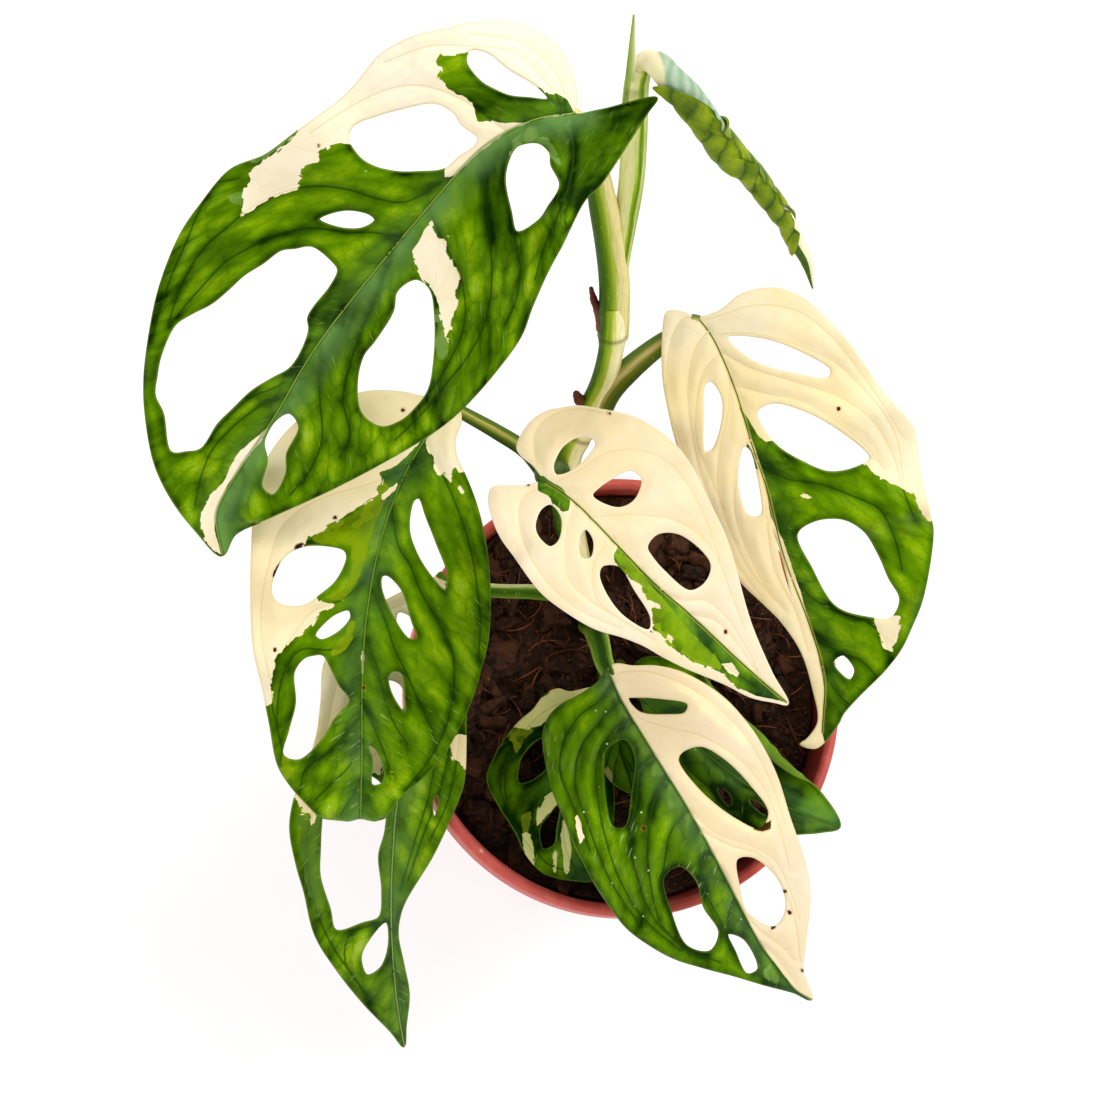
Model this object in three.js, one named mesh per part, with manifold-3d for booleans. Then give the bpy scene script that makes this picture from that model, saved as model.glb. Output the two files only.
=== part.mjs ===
// A potted monstera with cream variegation, in millimetres, +Z up.
// The origin is the middle of the pot's flat base. X points right and Y points back.

import * as THREE from 'three';
import { mergeVertices } from 'three/addons/utils/BufferGeometryUtils.js';
import Module from 'manifold-3d';

const wasm = await Module();
wasm.setup();

// Driving dimensions
const gap = 0.3; // between pieces that touch
const pot = {
  height: 105,
  rimRadius: 60,
  lipWidth: 3.2,
  lipDepth: 9,
  shoulderRadius: 57.6,
  baseRadius: 41,
  recessDepth: 1.5, // a ring under the floor, where the drain holes are
  recessRadii: [15, 36],
  wall: 1.8,
  floor: 2.4,
  sides: 48,
  drainHoles: 6,
  drainRadius: 3.5,
  drainRing: 26,
};
const soil = {
  top: 93,
  rows: 8,
  lumpHeight: 0.9,
  chips: 26,
  chipSize: [2.8, 5.8],
  fibres: 8,
  fibreRadius: 0.55,
  seed: 7,
};
const blade = {
  thickness: 0.9,
  marginStep: 15, // pixels of the traced photograph
  latticeStep: 30,
  ribRadius: [1.5, 0.5],
  ribSides: 5,
  ribSteps: 8,
  stalkSides: 8,
  petioleStart: 9, // pixels along the midrib
};

// The leaves were traced by eye in a photograph, so their outlines hold its pixel points.
// These values place its eye point over the pot and turn each point into its real place.
const photo = {
  middle: 550,
  rimMiddle: [625.5, 695],
  pixelsPerMm: 3.683, // at the rim
  eyeDistance: 950,
  toEye: new THREE.Vector3(-0.171, -0.171, 0.97).normalize(),
};
const sightRight = new THREE.Vector3(photo.toEye.z, 0, -photo.toEye.x).normalize();
const sightUp = new THREE.Vector3().crossVectors(photo.toEye, sightRight);
const eye = new THREE.Vector3(0, 0, pot.height)
  .addScaledVector(photo.toEye, photo.eyeDistance)
  .addScaledVector(sightRight, (photo.middle - photo.rimMiddle[0]) / photo.pixelsPerMm)
  .addScaledVector(sightUp, (photo.rimMiddle[1] - photo.middle) / photo.pixelsPerMm);

// The point at height z on the line of sight through a pixel
function sight(px, py, z) {
  const ray = photo.toEye.clone().multiplyScalar(-photo.pixelsPerMm * photo.eyeDistance)
    .addScaledVector(sightRight, px - photo.middle)
    .addScaledVector(sightUp, photo.middle - py);
  return eye.clone().addScaledVector(ray, (z - eye.z) / ray.z);
}

// Traced pixel points with their heights, as a smooth path in space
function sightPath(points) {
  return new THREE.CatmullRomCurve3(points.map((p) => sight(...p)), false, 'centripetal');
}

// Repeatable random numbers from 0 to 1
function randomFrom(seed) {
  let state = seed;
  return () => {
    state = (state * 1664525 + 1013904223) % 4294967296;
    return state / 4294967296;
  };
}

// Solids and meshes

function solidOf(geometry) {
  geometry.deleteAttribute('normal');
  geometry.deleteAttribute('uv');
  const merged = mergeVertices(geometry, 1e-4);
  return new wasm.Manifold(new wasm.Mesh({
    numProp: 3,
    vertProperties: new Float32Array(merged.attributes.position.array),
    triVerts: new Uint32Array(merged.index.array),
  }));
}

function geometryOf(solid) {
  const mesh = solid.getMesh();
  const geometry = new THREE.BufferGeometry();
  geometry.setAttribute('position', new THREE.BufferAttribute(mesh.vertProperties, 3));
  geometry.setIndex(new THREE.BufferAttribute(mesh.triVerts, 1));
  return geometry;
}

function geometryFrom(points, faces) {
  const geometry = new THREE.BufferGeometry().setFromPoints(points);
  geometry.setIndex(faces.flat());
  return geometry;
}

// A closed sweep along a path. section(t) gives the ring of the cross-section at t from 0 to 1.
function sweep(path, steps, section) {
  const frames = path.computeFrenetFrames(steps, false);
  const points = [];
  const faces = [];
  let sides = 0;
  for (let i = 0; i <= steps; i += 1) {
    const centre = path.getPointAt(i / steps);
    const ring = section(i / steps);
    sides = ring.length;
    for (const [x, y] of ring) {
      points.push(centre.clone()
        .addScaledVector(frames.normals[i], x)
        .addScaledVector(frames.binormals[i], y));
    }
  }
  for (let i = 0; i < steps; i += 1) {
    for (let k = 0; k < sides; k += 1) {
      const a = i * sides + k;
      const b = i * sides + (k + 1) % sides;
      faces.push([a, b, b + sides], [a, b + sides, a + sides]);
    }
  }
  const first = points.push(path.getPointAt(0)) - 1;
  const last = points.push(path.getPointAt(1)) - 1;
  for (let k = 0; k < sides; k += 1) {
    const next = (k + 1) % sides;
    faces.push([first, next, k], [last, steps * sides + k, steps * sides + next]);
  }
  return solidOf(geometryFrom(points, faces));
}

function roundSection(radius, sides) {
  const ring = [];
  for (let k = 0; k < sides; k += 1) {
    const angle = 2 * Math.PI * k / sides;
    ring.push([radius * Math.cos(angle), radius * Math.sin(angle)]);
  }
  return ring;
}

// The value at t from 0 to 1 along evenly spaced values
function spread(values, t) {
  const place = t * (values.length - 1);
  const i = Math.min(Math.floor(place), values.length - 2);
  return THREE.MathUtils.lerp(values[i], values[i + 1], place - i);
}

// A round stalk with radii from its first point to its last, or one grown all round by extra
function stalk(points, radii, sides, steps, extra = 0) {
  return sweep(sightPath(points), steps, (t) => roundSection(spread(radii, t) + extra, sides));
}

// Blades

// A closed ring of pixel points, with long stretches drawn as smooth curves
function marginRing(points, step) {
  const curve = new THREE.CatmullRomCurve3(
    points.map(([x, y]) => new THREE.Vector3(x, y, 0)), true, 'centripetal');
  const ring = [];
  points.forEach(([x, y], i) => {
    const [nextX, nextY] = points[(i + 1) % points.length];
    const parts = Math.max(1, Math.round(Math.hypot(nextX - x, nextY - y) / step));
    for (let k = 0; k < parts; k += 1) {
      const p = curve.getPoint((i + k / parts) / points.length);
      ring.push(new THREE.Vector2(p.x, p.y));
    }
  });
  return ring;
}

// The midrib as short straight stretches, carried on past both ends for the lobes and the tip
function ribLine(rib) {
  const curve = new THREE.CatmullRomCurve3(
    rib.map((p) => new THREE.Vector3(...p)), false, 'centripetal');
  const points = curve.getPoints(rib.length * 4);
  const beyond = (from, to) => to.clone().addScaledVector(to.clone().sub(from), 40);
  return [
    beyond(points[1], points[0]),
    ...points,
    beyond(points[points.length - 2], points[points.length - 1]),
  ];
}

// Where a pixel lies against the midrib: its height there, the way along and the way across
function againstRib(line, x, y) {
  let best = { distance: Infinity };
  let along = 0;
  for (let i = 0; i + 1 < line.length; i += 1) {
    const a = line[i];
    const b = line[i + 1];
    const dx = b.x - a.x;
    const dy = b.y - a.y;
    const length = Math.hypot(dx, dy);
    const t = THREE.MathUtils.clamp(((x - a.x) * dx + (y - a.y) * dy) / length ** 2, 0, 1);
    const distance = Math.hypot(x - a.x - t * dx, y - a.y - t * dy);
    if (distance < best.distance) {
      const side = Math.sign(dx * (y - a.y) - dy * (x - a.x)) || 1;
      best = {
        distance,
        z: THREE.MathUtils.lerp(a.z, b.z, t),
        along: along + t * length,
        across: side * distance,
      };
    }
    along += length;
  }
  return best;
}

// Height of a blade at a pixel: a fold along the midrib, drooping sides and waves at the margin
function bladeHeight(leaf, line, x, y) {
  const { z, along, across } = againstRib(line, x, y);
  const width = across / photo.pixelsPerMm;
  const reach = Math.abs(width);
  const { rise, droop, roll, wave } = leaf.form;
  const swing = Math.sin(along / wave.length * 2 * Math.PI + wave.phase + (width > 0 ? 0 : 2));
  return z + rise * reach - droop * reach ** 2 + roll * width + wave.height * swing * reach / 25;
}

// A turned edge: what lies beyond its line is wrapped round a bend, up (turn > 0) or down
function turnEdge(leaf, x, y) {
  for (const edge of leaf.turned || []) {
    const [ax, ay] = edge.from;
    const [bx, by] = edge.to;
    const length = Math.hypot(bx - ax, by - ay);
    const normal = [(by - ay) / length, (ax - bx) / length];
    const past = ((x - ax) * normal[0] + (y - ay) * normal[1]) / photo.pixelsPerMm;
    const along = ((x - ax) * (bx - ax) + (y - ay) * (by - ay)) / length ** 2;
    if (past > 0 && along > -0.25 && along < 1.25) {
      const full = THREE.MathUtils.degToRad(Math.abs(edge.turn));
      const angle = Math.min(past / edge.radius, full);
      const rest = past - angle * edge.radius;
      const out = edge.radius * Math.sin(angle) + rest * Math.cos(angle);
      const lift = edge.radius * (1 - Math.cos(angle)) + rest * Math.sin(angle);
      const back = (out - past) * photo.pixelsPerMm;
      return [x + normal[0] * back, y + normal[1] * back, Math.sign(edge.turn) * lift];
    }
  }
  return [x, y, 0];
}

function insideRing(ring, x, y) {
  let inside = false;
  for (let i = 0, j = ring.length - 1; i < ring.length; j = i, i += 1) {
    const a = ring[i];
    const b = ring[j];
    if ((a.y > y) !== (b.y > y) && x < (b.x - a.x) * (y - a.y) / (b.y - a.y) + a.x) {
      inside = !inside;
    }
  }
  return inside;
}

// Points inside the blade: along the midrib, and on a lattice of even triangles elsewhere
function innerPoints(rings, line, step) {
  const kept = [];
  const clear = (x, y, room, list) => list.every((p) => Math.hypot(p.x - x, p.y - y) > room);
  const onBlade = (x, y) => (
    insideRing(rings[0], x, y) && !rings.slice(1).some((hole) => insideRing(hole, x, y)));
  const edges = rings.flat();
  const middle = line.slice(1, -1);
  for (const p of middle) {
    if (onBlade(p.x, p.y) && clear(p.x, p.y, step * 0.35, edges)
      && clear(p.x, p.y, step * 0.6, kept)) {
      kept.push(new THREE.Vector2(p.x, p.y));
    }
  }
  const turn = 0.37;
  const reach = 40;
  for (let row = -reach; row <= reach; row += 1) {
    for (let column = -reach; column <= reach; column += 1) {
      const u = (column + (row % 2) / 2) * step;
      const v = row * step * Math.sqrt(3) / 2;
      const x = middle[0].x + u * Math.cos(turn) - v * Math.sin(turn);
      const y = middle[0].y + u * Math.sin(turn) + v * Math.cos(turn);
      if (onBlade(x, y) && clear(x, y, step * 0.5, edges) && clear(x, y, step * 0.55, kept)) {
        kept.push(new THREE.Vector2(x, y));
      }
    }
  }
  return kept;
}

// Twice the area of a triangle, positive when it turns anticlockwise as the eye sees it
function turnOf(a, b, c) {
  return (b.y - a.y) * (c.x - a.x) - (b.x - a.x) * (c.y - a.y);
}

// Triangles over the rings and the inner points, with edges flipped until they are even
function divideSheet(rings, inner) {
  const points = rings.flat();
  const faces = THREE.ShapeUtils.triangulateShape(rings[0], rings.slice(1)).map(([a, b, c]) => (
    turnOf(points[a], points[b], points[c]) > 0 ? [a, b, c] : [a, c, b]));
  for (const p of inner) {
    const found = faces.findIndex(([a, b, c]) => (
      turnOf(points[a], points[b], p) > 0 && turnOf(points[b], points[c], p) > 0
      && turnOf(points[c], points[a], p) > 0));
    if (found >= 0) {
      const [a, b, c] = faces[found];
      const q = points.push(p) - 1;
      faces.splice(found, 1, [a, b, q], [b, c, q], [c, a, q]);
    }
  }
  let flipped = true;
  while (flipped) {
    flipped = flipOnce(points, faces);
  }
  return { points, faces };
}

function angleAt(corner, a, b) {
  return Math.abs(a.clone().sub(corner).angleTo(b.clone().sub(corner)));
}

// One pass over the edges that two faces share. Gives true while any edge was flipped.
function flipOnce(points, faces) {
  const edges = new Map();
  let flipped = false;
  const touched = new Set();
  faces.forEach((face, f) => {
    for (let k = 0; k < 3; k += 1) {
      const a = face[k];
      const b = face[(k + 1) % 3];
      const key = Math.min(a, b) * 1e5 + Math.max(a, b);
      const seen = edges.get(key) || [];
      seen.push({ f, a, b, c: face[(k + 2) % 3] });
      edges.set(key, seen);
    }
  });
  for (const pair of edges.values()) {
    if (pair.length === 2 && !touched.has(pair[0].f) && !touched.has(pair[1].f)) {
      const { f, a, b, c } = pair[0];
      const d = pair[1].c;
      const [A, B, C, D] = [a, b, c, d].map((i) => points[i]);
      const opposite = angleAt(C, A, B) + angleAt(D, A, B);
      if (opposite > Math.PI + 1e-7 && turnOf(A, D, C) > 1e-9 && turnOf(D, B, C) > 1e-9) {
        faces[f] = [a, d, c];
        faces[pair[1].f] = [d, b, c];
        touched.add(f).add(pair[1].f);
        flipped = true;
      }
    }
  }
  return flipped;
}

// A sheet of even thickness. Both sides share one division into triangles, so they never cross.
function thicken(points, faces, thickness) {
  const normals = points.map(() => new THREE.Vector3());
  const open = new Map();
  for (const face of faces) {
    const [a, b, c] = face.map((i) => points[i]);
    const normal = b.clone().sub(a).cross(c.clone().sub(a));
    face.forEach((i, k) => {
      normals[i].add(normal);
      const j = face[(k + 1) % 3];
      if (!open.delete(`${j} ${i}`)) {
        open.set(`${i} ${j}`, [i, j]);
      }
    });
  }
  normals.forEach((normal) => normal.normalize());
  const count = points.length;
  const both = [
    ...points.map((p, i) => p.clone().addScaledVector(normals[i], thickness / 2)),
    ...points.map((p, i) => p.clone().addScaledVector(normals[i], -thickness / 2)),
  ];
  const closed = [];
  for (const [a, b, c] of faces) {
    closed.push([a, b, c], [a + count, c + count, b + count]);
  }
  for (const [a, b] of open.values()) {
    closed.push([b, a, a + count], [b, a + count, b + count]);
  }
  return solidOf(geometryFrom(both, closed));
}

// The raised midrib under a blade, tapered towards the tip
function ribUnder(leaf, line) {
  const middle = line.slice(1, -1);
  const under = middle.slice(0, Math.round(middle.length * leaf.ribReach)).map((p) => {
    const [x, y, lift] = turnEdge(leaf, p.x, p.y);
    return sight(x, y, bladeHeight(leaf, line, x, y) + lift - blade.thickness * 0.6);
  });
  const spots = under.filter((p, i) => i % 2 === 0);
  const path = new THREE.CatmullRomCurve3(spots, false, 'centripetal');
  return sweep(path, blade.ribSteps, (t) => (
    roundSection(THREE.MathUtils.lerp(...blade.ribRadius, t) * leaf.ribScale, blade.ribSides)));
}

// A whole leaf: the blade with its holes, its midrib and its petiole, less what it grows from
function leafSolid(leaf, carriers) {
  const rings = [leaf.margin, ...leaf.holes].map((ring) => marginRing(ring, blade.marginStep));
  const line = ribLine(leaf.rib);
  const sheet = divideSheet(rings, innerPoints(rings, line, leaf.lattice || blade.latticeStep));
  const points = sheet.points.map((p) => {
    const [x, y, lift] = turnEdge(leaf, p.x, p.y);
    return sight(x, y, bladeHeight(leaf, line, x, y) + lift);
  });
  let solid = thicken(points, sheet.faces, blade.thickness)
    .add(ribUnder(leaf, line))
    .add(petioleSolid(leaf));
  for (const carrier of carriers) {
    solid = solid.subtract(carrier);
  }
  return largest(solid);
}

// A petiole starts under the blade, a little way along the midrib, and ends in what carries it
function petioleSolid(leaf, extra = 0) {
  const [base, next] = leaf.rib;
  const t = blade.petioleStart / Math.hypot(next[0] - base[0], next[1] - base[1]);
  const start = base.map((value, i) => THREE.MathUtils.lerp(value, next[i], t));
  start[2] -= blade.thickness;
  const points = [start, ...leaf.petiole];
  return stalk(points, leaf.petioleRadius, blade.stalkSides, leaf.petioleSteps || 8, extra);
}

// The largest body of a cut solid, so that no loose scrap stays
function largest(solid) {
  return solid.decompose().sort((a, b) => b.volume() - a.volume())[0];
}

// The leaves as traced. A rib holds [pixel, pixel, height in mm] from the petiole to the tip.

const leafA = {
  ribScale: 1.35,
  form: { rise: 0.14, droop: 0.0045, roll: 0.03, wave: { length: 125, phase: 0.4, height: 1.5 } },
  ribReach: 0.94,
  rib: [
    [575, 113, 231], [540, 118, 231], [510, 130, 228.5], [480, 150, 224], [430, 205, 213],
    [365, 283, 196], [314, 350, 182], [273, 419, 168], [232, 481, 156], [216, 515, 150],
    [222, 554, 144],
  ],
  petiole: [[575, 115, 229.5], [583, 133, 224], [594, 160, 214], [603, 204, 199],
    [611, 250, 185], [614.5, 286, 175], [614, 319, 166], [613, 335, 161]],
  petioleRadius: [2.2, 2.9, 3.7, 3.9, 4, 4.1],
  petioleSteps: 13,
  lattice: 33,
  margin: [
    [575, 113], [577, 100], [572, 75], [560, 50], [540, 33], [515, 24], [480, 22], [450, 28],
    [410, 38], [380, 55], [355, 85], [340, 100], [320, 115], [295, 133], [265, 155], [230, 170],
    [200, 205], [180, 235], [160, 285], [150, 330], [144, 380], [146, 420], [155, 465],
    [172, 500], [195, 530], [222, 556], [235, 535], [260, 522], [330, 490], [380, 464],
    [426, 437], [446, 423], [466, 405], [496, 371], [521, 336], [532, 307], [548, 271],
    [562, 245], [585, 200], [600, 185], [630, 140], [648, 112], [657, 98], [600, 110],
  ],
  holes: [
    [[466, 61], [470, 50], [487, 52], [509, 69], [537, 86], [548, 99], [529, 98], [510, 96],
      [495, 90], [480, 81]],
    [[348, 138], [354, 125], [375, 116], [400, 109], [434, 103], [453, 112], [462, 125],
      [478, 138], [474, 147], [460, 156], [445, 169], [418, 172], [398, 172], [375, 167],
      [360, 158]],
    [[319, 219], [344, 210], [369, 214], [375, 220], [363, 228], [340, 228]],
    [[295, 248], [312, 246], [333, 262], [338, 270], [330, 287], [314, 307], [308, 318],
      [309, 330], [299, 356], [289, 369], [273, 378], [252, 391], [232, 410], [218, 424],
      [201, 449], [187, 452], [171, 452], [163, 413], [155, 395], [157, 375], [161, 355],
      [175, 325], [191, 314], [212, 303], [232, 286], [244, 275], [263, 263], [281, 250]],
    [[514, 149], [522, 144], [539, 143], [550, 153], [551, 164], [560, 185], [548, 207],
      [539, 220], [517, 232], [511, 212], [505, 176]],
    [[416, 279], [430, 289], [435, 316], [434, 361], [428, 391], [412, 412], [401, 421],
      [381, 427], [361, 413], [357, 383], [363, 356], [375, 340], [393, 311], [397, 291]],
    [[289, 413], [299, 427], [287, 454], [286, 474], [273, 495], [262, 487], [267, 460],
      [264, 442], [273, 423]],
  ],
};

const leafB = {
  ribScale: 1.1,
  form: { rise: 0.16, droop: 0.007, roll: 0.02, wave: { length: 80, phase: 2, height: 1.8 } },
  ribReach: 0.88,
  rib: [
    [447, 406, 152], [425, 439, 152.5], [404, 476, 151], [385, 526, 148], [373, 575, 145],
    [365, 631, 140], [362, 690, 134], [362, 750, 127], [361, 800, 120], [360, 850, 113],
  ],
  petiole: [[449, 405, 150.5], [463, 413, 149], [497, 432, 145], [526, 451, 140],
    [546, 476, 133], [568, 505, 124]],
  petioleRadius: [1.7, 2.1, 2.2, 2.6],
  margin: [
    [447, 406], [436, 398], [420, 396], [408, 393], [390, 391], [365, 392], [328, 405],
    [298, 421], [268, 458], [255, 500], [252, 545], [251, 600], [254, 650], [263, 690],
    [270, 725], [278, 765], [290, 785], [305, 802], [322, 820], [338, 838], [352, 856], [366, 872], [372, 852],
    [378, 836], [388, 815], [400, 797], [420, 780], [440, 760], [455, 735], [465, 715],
    [475, 690], [482, 665], [488, 640], [490, 600], [488, 560], [483, 530], [475, 500],
    [465, 475], [457, 458], [455, 440], [461, 420], [458, 407],
  ],
  holes: [
    [[304, 546], [321, 545], [344, 550], [347, 557], [337, 580], [323, 593], [302, 606],
      [278, 603], [271, 590], [280, 562], [290, 552]],
    [[349, 610], [351, 617], [340, 631], [321, 640], [315, 635], [326, 621], [337, 613]],
    [[313, 655], [323, 655], [333, 672], [340, 686], [350, 700], [335, 719], [323, 739],
      [299, 760], [283, 755], [288, 731], [295, 703], [294, 672], [304, 658]],
    [[414, 500], [419, 498], [426, 516], [437, 544], [448, 576], [445, 590], [430, 575],
      [416, 552], [409, 528]],
    [[382, 576], [387, 575], [402, 590], [412, 621], [417, 638], [409, 639], [392, 615],
      [381, 587]],
    [[388, 676], [393, 671], [402, 673], [405, 698], [405, 713], [392, 695]],
    [[368, 745], [375, 748], [385, 772], [381, 784], [372, 785], [372, 760]],
  ],
  turned: [{ from: [410, 806], to: [310, 806], radius: 3.4, turn: -150 }],
};

const leafC = {
  ribScale: 0.95,
  form: { rise: 0.1, droop: 0.005, roll: 0.02, wave: { length: 90, phase: 1, height: 1 } },
  ribReach: 0.93,
  rib: [
    [541, 479, 166], [572, 500, 169], [613, 541, 171], [653, 582, 168], [696, 620, 162],
    [737, 659, 155], [786, 702, 147],
  ],
  petiole: [[543, 481, 165.5], [541, 474, 162], [547, 468, 154], [555, 466, 144], [566, 474, 131]],
  petioleRadius: [1.7, 2.4],
  margin: [
    [541, 479], [535, 467], [521, 455], [517, 447], [529, 424], [545, 412], [562, 408],
    [578, 406], [598, 409], [619, 413], [639, 419], [668, 438], [682, 453], [694, 471],
    [706, 496], [725, 535], [733, 559], [745, 604], [753, 629], [772, 673], [788, 704],
    [774, 702], [751, 697], [725, 684], [684, 667], [664, 657], [643, 645], [623, 637],
    [594, 628], [558, 606], [541, 592], [529, 577], [515, 557], [502, 539], [494, 522],
    [489, 500], [492, 488], [500, 486], [529, 485],
  ],
  holes: [
    [[553, 467], [556, 457], [564, 445], [582, 436], [596, 442], [588, 457], [570, 472],
      [556, 475]],
    [[592, 495], [598, 488], [611, 479], [631, 470], [642, 479], [635, 500], [619, 508],
      [596, 500]],
    [[647, 547], [657, 534], [680, 534], [711, 563], [706, 582], [690, 591], [664, 571],
      [652, 557]],
    [[541, 509], [551, 504], [562, 518], [559, 541], [550, 547], [537, 535], [535, 524]],
    [[580, 535], [586, 529], [594, 541], [591, 558], [581, 558]],
    [[599, 575], [602, 566], [619, 566], [635, 590], [651, 618], [649, 630], [623, 616],
      [606, 594]],
  ],
};

const leafD = {
  ribScale: 1.15,
  form: { rise: 0.12, droop: 0.006, roll: -0.16, wave: { length: 90, phase: 0.5, height: 1.6 } },
  ribReach: 0.93,
  rib: [
    [697, 317, 166], [711, 335, 167], [732, 381, 165], [753, 448, 157], [767, 490, 151],
    [784, 557, 142], [809, 624, 130], [824, 678, 120], [822, 732, 112],
  ],
  petiole: [[695, 320, 165], [680, 331, 163], [662, 343, 160.5], [632, 367, 156],
    [610, 389, 151], [599, 408, 146], [592, 428, 140]],
  petioleRadius: [1.9, 2.8, 3.3, 3.7, 4],
  margin: [
    [697, 317], [679, 311], [667, 312], [663, 334], [663, 376], [667, 402], [677, 444],
    [692, 485], [712, 530], [738, 578], [765, 605], [780, 620], [801, 651], [813, 689],
    [818, 722], [806, 740], [800, 744], [816, 748], [838, 724], [843, 714], [858, 697],
    [885, 670], [901, 649], [912, 626], [922, 601], [931, 555], [933, 529], [931, 519],
    [920, 471], [914, 429], [908, 420], [885, 395], [870, 374], [853, 349], [837, 330],
    [807, 301], [792, 293], [772, 288], [742, 294], [719, 311],
  ],
  holes: [
    [[727, 337], [734, 335], [769, 339], [807, 354], [831, 370], [828, 378], [795, 374],
      [759, 364], [736, 349]],
    [[757, 412], [772, 403], [803, 410], [841, 431], [870, 458], [857, 467], [830, 472],
      [803, 462], [774, 443]],
    [[705, 384], [711, 381], [722, 397], [722, 422], [712, 450], [705, 452], [703, 420]],
    [[744, 446], [751, 450], [760, 487], [761, 515], [748, 515], [738, 487], [739, 460]],
    [[772, 527], [782, 554], [791, 596], [784, 576], [776, 545]],
    [[797, 534], [814, 521], [843, 519], [864, 531], [878, 553], [889, 578], [900, 599],
      [891, 618], [872, 618], [836, 607], [811, 567]],
    [[833, 662], [843, 655], [855, 670], [850, 680], [837, 670]],
  ],
};

const leafE = {
  ribScale: 1.05,
  form: { rise: 0.13, droop: 0.006, roll: 0, wave: { length: 100, phase: 0, height: 1.4 } },
  ribReach: 0.93,
  rib: [
    [608, 670, 122], [620, 698, 125], [655, 756, 127], [689, 811, 125], [724, 875, 119],
    [760, 944, 108], [795, 990, 98], [811, 1000, 95],
  ],
  petiole: [[609, 673, 121.5], [604, 662, 119], [600, 646, 114], [595, 630, 107], [590, 622, 97]],
  petioleRadius: [1.8, 2.8],
  margin: [
    [607, 669], [616, 664], [632, 666], [655, 666], [678, 671], [701, 682], [724, 698],
    [742, 717], [758, 739], [776, 774], [790, 818], [806, 866], [810, 893], [805, 948],
    [803, 971], [812, 1000], [795, 993], [765, 985], [735, 976], [701, 967], [673, 958],
    [648, 944], [627, 928], [609, 905], [590, 875], [563, 815], [551, 785], [543, 735],
    [549, 717], [561, 705], [581, 694], [600, 680],
  ],
  holes: [
    [[628, 698], [636, 697], [659, 698], [688, 704], [685, 713], [669, 715], [639, 712]],
    [[678, 760], [682, 752], [701, 746], [724, 758], [751, 785], [769, 813], [760, 829],
      [737, 820], [701, 792]],
    [[737, 859], [753, 857], [779, 880], [786, 909], [774, 927], [747, 912], [739, 886]],
    [[604, 760], [607, 749], [625, 739], [635, 756], [632, 792], [625, 827], [613, 827],
      [606, 803]],
    [[664, 877], [680, 866], [696, 880], [704, 907], [719, 932], [710, 951], [687, 946],
      [671, 912]],
    [[728, 934], [744, 939], [758, 969], [747, 974], [735, 951]],
  ],
};

const leafF = {
  ribScale: 1.05,
  form: { rise: 0.12, droop: 0.005, roll: 0, wave: { length: 90, phase: 1, height: 1.2 } },
  ribReach: 0.95,
  rib: [
    [449, 583, 121], [438, 640, 123], [424, 700, 121], [408, 755, 116], [397, 805, 108],
    [393, 851, 98], [391, 905, 83], [393, 959, 67], [398, 1010, 52], [404, 1045, 43],
  ],
  petiole: [[449, 584, 120.5], [470, 588, 119], [500, 591, 115], [535, 592, 109], [575, 597, 99]],
  petioleRadius: [1.7, 2.3],
  margin: [
    [449, 583], [441, 572], [434, 578], [402, 592], [385, 601], [360, 616], [338, 638],
    [324, 665], [321, 703], [316, 738], [303, 775], [295, 796], [290, 828], [297, 867],
    [304, 891], [315, 935], [336, 969], [363, 1003], [391, 1032], [404, 1047], [406, 1026],
    [409, 994], [404, 966], [398, 935], [400, 916], [406, 900], [431, 859], [441, 839],
    [459, 798], [464, 780], [466, 720], [466, 660], [463, 620], [457, 594],
  ],
  holes: [
    [[328, 790], [345, 776], [368, 774], [384, 786], [387, 803], [385, 832], [379, 855],
      [382, 891], [379, 917], [363, 923], [336, 930], [330, 909], [320, 876], [320, 851],
      [322, 817]],
    [[386, 922], [389, 941], [381, 967], [367, 975], [361, 959], [365, 946]],
    [[433, 800], [438, 795], [439, 805], [434, 818]],
    [[398, 612], [409, 615], [418, 632], [415, 645], [404, 640], [396, 626]],
    [[388, 680], [400, 684], [406, 700], [402, 710], [390, 698]],
  ],
};

const leafG = {
  ribScale: 0.8,
  lattice: 20,
  form: { rise: 0.1, droop: 0.006, roll: 0, wave: { length: 70, phase: 1, height: 0.8 } },
  ribReach: 0.85,
  rib: [
    [598, 692, 104], [580, 730, 105], [570, 765, 104.5], [566, 800, 103.5], [572, 840, 102],
    [592, 878, 100.5],
  ],
  petiole: [[599, 690, 103.5], [602, 680, 102], [602, 668, 98], [600, 660, 88]],
  petioleRadius: [1.3, 1.7],
  petioleSteps: 6,
  margin: [
    [598, 690], [590, 688], [581, 690], [569, 692], [558, 689], [545, 695], [533, 710],
    [519, 722], [504, 740], [495, 756], [487, 779], [499, 806], [517, 835], [522, 847],
    [531, 861], [542, 872], [554, 877], [569, 880], [594, 880], [606, 862], [612, 835],
    [614, 800], [611, 765], [606, 730], [604, 705],
  ],
  holes: [
    [[542, 738], [529, 747], [520, 761], [519, 783], [531, 781], [550, 765], [556, 748]],
    [[540, 827], [547, 817], [560, 803], [557, 829], [554, 845], [543, 849]],
    [[580, 790], [590, 778], [598, 790], [597, 815], [588, 830], [581, 815]],
  ],
};

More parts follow.
